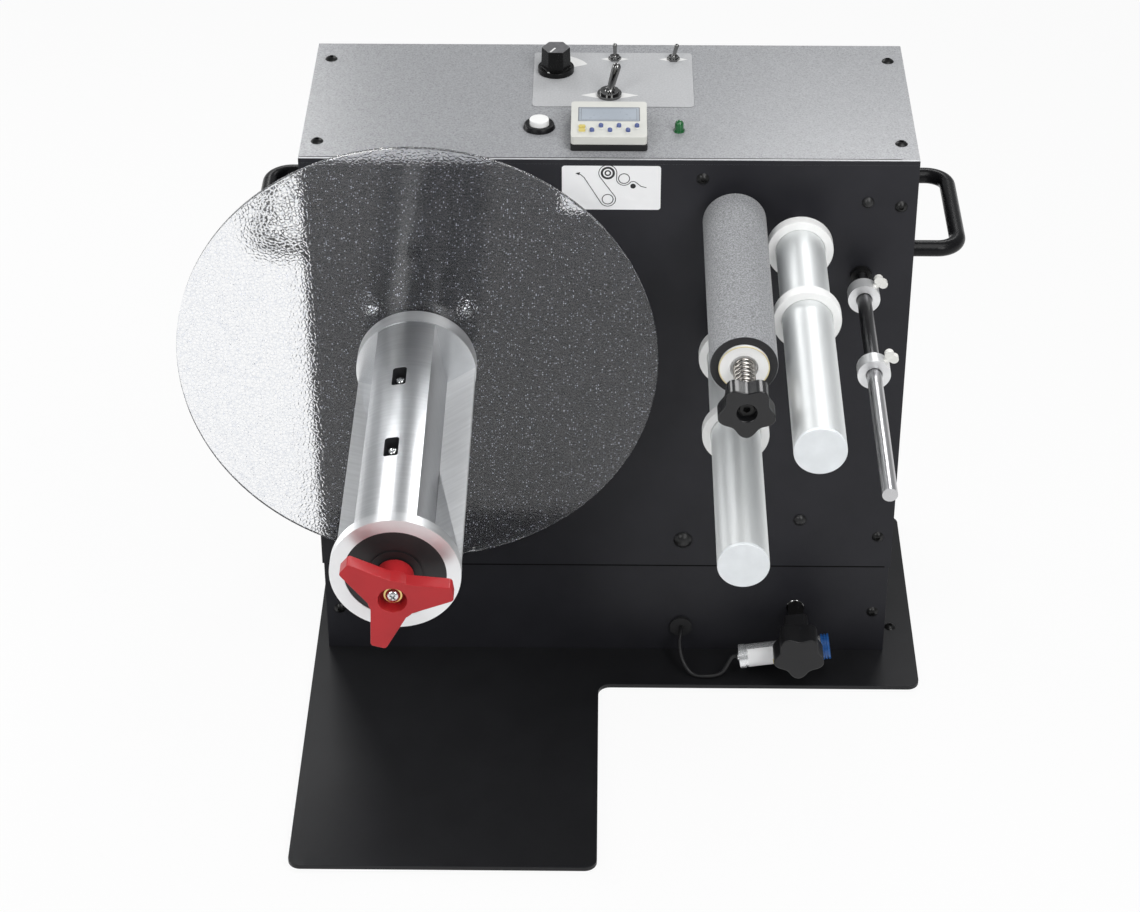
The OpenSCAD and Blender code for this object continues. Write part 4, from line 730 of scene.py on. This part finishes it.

# Counter keys, and dark lines round its display: painted shade, as of a recess at the display's edge
COUNTER_TOP = 9.8
KEY_SHAPE = [(0, 2.5), (0.85, 2.4), (1.3, 2.1), (1.5, 1.6), (1.5, 0.0), (0, 0.0)]
keys = []
for i in range(6):
    place = at((i - 2) * 5.6 + 0.6, 18.2 + (i % 2) * 6, TOP + COUNTER_TOP + 0.3)
    keys.append(lathe("key", KEY_SHAPE, place, (0, 0, 1), key_blue, 24))
blue_keys = join("counter_blue_keys", keys)
keys = []
for i in (0, 1):
    y = 18.6 + i * 5
    outline = rounded(-19.0, y - 1.5, -14.6, y + 1.5, 1.3)
    keys.append(plate("key", outline, COUNTER_TOP + 0.3, 1.2, key_yellow))
yellow_keys = join("counter_yellow_keys", keys)
# Two dark outlines round the flush display window: painted shade of a recess.
display_shade_lines = []
for rim, wide in ((0.0, 0.7), (-1.6, 0.35)):
    x, low_y, high_y = 19.0 + rim, 32.5 - rim, 50.5 + rim
    sides = (((-x, high_y), (x, high_y)), ((-x, low_y), (-x, high_y)),
             ((x, low_y), (x, high_y)), ((-x, low_y), (x, low_y)))
    for a, b in sides:
        display_shade_lines.append(stroke("line", [a, b], wide, COUNTER_TOP + 0.05, display_edge_shade, "top"))
display_shade_frame = join("display_shade_frame", display_shade_lines)

# Speed knob: a white line on its top and a white dot on its skirt
POINTER = [(-38.6, 112.0), (-37.6, 111.5), (-34.5, 117.4), (-35.5, 117.9)]
pointer = plate("knob_pointer", POINTER, 17.52, 0.08, print_white)
knob_dot = plate("knob_dot", [(-40.2, 109.6), (-38.5, 108.8), (-39.0, 110.6)], 3.79, 0.08, print_white)

# Lines: painted shade in the groove behind the top panel's front lip, the lip drawn light grey with a painted
# highlight of its rounded edge, and the joint between the front panel and the riser
SEAM_Z = 78
# A dark line on the top panel behind its lip: painted shade of the groove.
lip_groove_shade = stroke("lip_groove_shade", [(-191.4, 2.4), (179, 2.4), (181, 2.0)], 0.9, 0.05, socket_dark, "top")
riser_seam = stroke("riser_seam", [(-188, SEAM_Z), (188, SEAM_Z)], 0.9, 0.04, seam_dark)
# A light grey line along the top panel's front edge: the lip's grey lightened by a painted highlight.
lip_highlight = stroke("lip_highlight", [(-191.4, 1.15), (191.4, 1.15)], 0.9, 0.05, lip_highlight_grey, "top")


# Cross-head screws: a domed head with a cross recess
def cross_screw(name, origin, direction, head_r, head_h, material, turn=0.0):
    dome = [(0, -1.0), (head_r, -1.0), (head_r, head_h * 0.25), (head_r * 0.93, head_h * 0.55),
            (head_r * 0.7, head_h * 0.86), (head_r * 0.35, head_h), (0, head_h)]
    head = lathe(name, dome, origin, direction, material, 40)
    x, y, z = frame_axes(direction)
    cutters = []
    for k in (0, 90):
        a = math.radians(turn + k)
        u = x * math.cos(a) + y * math.sin(a)
        v = z.cross(u)
        verts = []
        for h, half, wide in ((0.15, 0.16, 0.10), (1.2, 0.62, 0.13)):
            for su, sv in ((-1, -1), (1, -1), (1, 1), (-1, 1)):
                corner = u * su * half * head_r + v * sv * wide * head_r + z * head_h * h
                verts.append(origin + corner / 1000)
        faces = [(3, 2, 1, 0), (4, 5, 6, 7)] + [(i, (i + 1) % 4, 4 + (i + 1) % 4, 4 + i) for i in range(4)]
        cutters.append(piece("cut", verts, faces, socket_dark, False))
    for c in cutters:
        mod = head.modifiers.new("cross", "BOOLEAN")
        mod.operation = "DIFFERENCE"
        mod.object = c
        mod.solver = "EXACT"
        bpy.context.view_layer.update()
        mesh = bpy.data.meshes.new_from_object(head.evaluated_get(bpy.context.evaluated_depsgraph_get()))
        head.modifiers.clear()
        head.data = mesh
    for c in cutters:
        bpy.data.objects.remove(c)
    head.data.name = name
    return head


jaw_up = Vector((-math.sin(CHUCK_TURN), 0, math.cos(CHUCK_TURN)))
slot_floor = 27.5
NECK = [(0, 0), (2.9, 0), (2.9, 5.5), (3.1, 5.8), (0, 5.8)]
screws = []
for y in SLOTS:
    base = at(SPINDLE[0], -y, SPINDLE[1]) + jaw_up * (slot_floor + 0.2) / 1000
    turn = 25 if y == SLOTS[0] else 70
    screws.append(cross_screw("jaw_screw", base + jaw_up * 0.0056, jaw_up, 3.1, 2.0, zinc, turn))
    screws.append(lathe("jaw_screw_neck", NECK, base, jaw_up, zinc, 40))
jaw_screw_heads = join("jaw_screw_heads", screws)
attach(jaw_screw_heads, "chuck_jaw")
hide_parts("jaw_screws")

knob_screw = cross_screw("knob_screw", at(SPINDLE[0], -274.2, SPINDLE[1]), (0, -1, 0), 4.3, 3.0, zinc, 4)
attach(knob_screw, "chuck_knob")
knob_bush = lathe("knob_bush", [(3.4, -0.4), (5.6, -0.4), (5.6, 2.0), (5.3, 2.3), (3.4, 2.3), (3.4, -0.4)],
                  at(SPINDLE[0], -272.4, SPINDLE[1]), (0, -1, 0), brass, 48)
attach(knob_bush, "chuck_knob")

# Cream rim round the end of the brake roller's core
RIM = [(14.2, 0), (14.55, 0.0), (14.75, 0.3), (14.55, 0.6), (14.2, 0.6), (14.05, 0.3), (14.2, 0)]
glue = lathe("core_rim", RIM, at(BRAKE[0], -178.7, BRAKE[1]), (0, -1, 0), cream, 64)
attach(glue, "brake_roller")


# Bare label wrapped round the sensor barrel, and the bright washer behind its post
def barrel_point(along_mm, angle, radius):
    x = POST[0] + BARREL_DROP * math.sin(TILT) + along_mm * math.cos(TILT)
    z = POST[1] - BARREL_DROP * math.cos(TILT) + along_mm * math.sin(TILT)
    out = Vector((-math.sin(TILT) * math.cos(angle), -math.sin(angle), math.cos(TILT) * math.cos(angle)))
    return at(*(Vector((x, -mid, z)) + out * radius))


def wrap(name, ends, start, sweep, radius, material, steps=20):
    """A thin band round the sensor barrel, from one end along it to the other, through a sweep in degrees."""
    sections = []
    for i in range(steps + 1):
        a = math.radians(start + sweep * i / steps)
        inner = radius - 0.03
        corners = ((ends[0], inner), (ends[1], inner), (ends[1], radius), (ends[0], radius))
        sections.append([barrel_point(x, a, r) for x, r in corners])
    return sharpen(loft(name, sections, material, smooth=True))


sensor_label = wrap("sensor_label", (-35.0, -16.0), 20, 110, 7.86, sticker_white)
sensor_stripe = wrap("sensor_stripe", (-18.6, -16.4), 86, 44, 7.92, key_yellow, 8)
washer = lathe("post_washer", [(4.2, 0.02), (6.0, 0.02), (6.0, 0.6), (5.7, 0.9), (4.2, 0.9), (4.2, 0.02)],
               at(POST[0], 1.0, POST[1]), (0, -1, 0), nickel, 48)

dressing = (
    (sensor_label, "sensor_head", "white_plastic"), (sensor_stripe, "sensor_head", "case_light"),
    (washer, "cabinet", "bright_steel"), (name_plate, "cabinet", "top_grey"),
    (plate_marks, "cabinet", "white_plastic"), (sticker, "cabinet", "white_plastic"),
    (path_drawing, "cabinet", "black_plastic"), (blue_keys, "cabinet", "blue_plastic"),
    (display_shade_frame, "cabinet", "black_plastic"), (yellow_keys, "cabinet", "case_light"),
    (pointer, "speed_knob", "white_plastic"), (knob_dot, "speed_knob", "white_plastic"),
    (lip_groove_shade, "cabinet", "cabinet_black"), (riser_seam, "cabinet", "cabinet_black"),
    (lip_highlight, "cabinet", "top_grey"),
)
for obj, body, slot in dressing:
    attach(obj, body)

# Floor, world and lights
floor_mat = bpy.data.materials.new("floor")
floor_mat.use_nodes = True
tree = floor_mat.node_tree
shader = tree.nodes["Principled BSDF"]
socket(shader, "Base Color", (0.86, 0.86, 0.86, 1))
socket(shader, "Roughness", 0.9)
socket(shader, "Specular IOR Level", 0.1)
glow = tree.nodes.new("ShaderNodeEmission")
glow.inputs["Strength"].default_value = 1.0
paths = tree.nodes.new("ShaderNodeLightPath")
seen = tree.nodes.new("ShaderNodeMath")
seen.operation = "MAXIMUM"
seen_too = tree.nodes.new("ShaderNodeMath")
seen_too.operation = "MAXIMUM"
tree.links.new(paths.outputs["Is Camera Ray"], seen.inputs[0])
tree.links.new(paths.outputs["Is Glossy Ray"], seen.inputs[1])
tree.links.new(seen.outputs["Value"], seen_too.inputs[0])
tree.links.new(paths.outputs["Is Transmission Ray"], seen_too.inputs[1])
part = tree.nodes.new("ShaderNodeMath")
part.operation = "MULTIPLY"
part.inputs[1].default_value = 0.93
tree.links.new(seen_too.outputs["Value"], part.inputs[0])
blend = tree.nodes.new("ShaderNodeMixShader")
tree.links.new(part.outputs["Value"], blend.inputs["Fac"])
tree.links.new(shader.outputs["BSDF"], blend.inputs[1])
tree.links.new(glow.outputs["Emission"], blend.inputs[2])
tree.links.new(blend.outputs["Shader"], tree.nodes["Material Output"].inputs["Surface"])
floor = piece("floor", [(-9, -9, 0), (9, -9, 0), (9, 9, 0), (-9, 9, 0)], [(0, 1, 2, 3)], floor_mat, False)

# The room is paler behind the object than behind the camera
world = bpy.data.worlds.new("studio")
scene.world = world
world.use_nodes = True
tree = world.node_tree
back = tree.nodes["Background"]
place = tree.nodes.new("ShaderNodeTexCoord")
parts = tree.nodes.new("ShaderNodeSeparateXYZ")
tree.links.new(place.outputs["Generated"], parts.inputs["Vector"])
level = tree.nodes.new("ShaderNodeMapRange")
level.inputs["From Min"].default_value = -0.7
level.inputs["From Max"].default_value = 1.0
level.inputs["To Min"].default_value = 0.18
level.inputs["To Max"].default_value = 0.38
tree.links.new(parts.outputs["Y"], level.inputs["Value"])
tree.links.new(level.outputs["Result"], back.inputs["Strength"])
back.inputs["Color"].default_value = (0.96, 0.98, 1.0, 1)


def softbox(name, place, target, width, height, power):
    light = bpy.data.objects.new(name, bpy.data.lights.new(name, "AREA"))
    light.data.shape = "RECTANGLE"
    light.data.size = width
    light.data.size_y = height
    light.data.energy = power
    light.location = place
    light.rotation_euler = (Vector(target) - Vector(place)).to_track_quat("-Z", "Y").to_euler()
    light.visible_camera = False
    scene.collection.objects.link(light)


softbox("overhead", (0.28, -0.2, 0.88), (0.06, -0.05, 0.3), 0.5, 0.4, 2.2)
softbox("back_left", (-0.36, 0.8, 0.86), (-0.15, -0.1, 0.35), 0.26, 0.36, 1.8)
softbox("back_right", (0.3, 0.8, 0.98), (0.1, -0.1, 0.35), 0.34, 0.26, 2.0)
softbox("left_front", (-0.8, -1.15, 1.2), (-0.05, 0, 0.25), 0.5, 0.8, 8)
softbox("left_side", (-1.45, 0.5, 0.6), (-0.1, -0.1, 0.27), 0.7, 0.7, 8)
softbox("right_front", (0.75, -1.15, 1.15), (-0.05, 0, 0.25), 0.5, 0.8, 8)
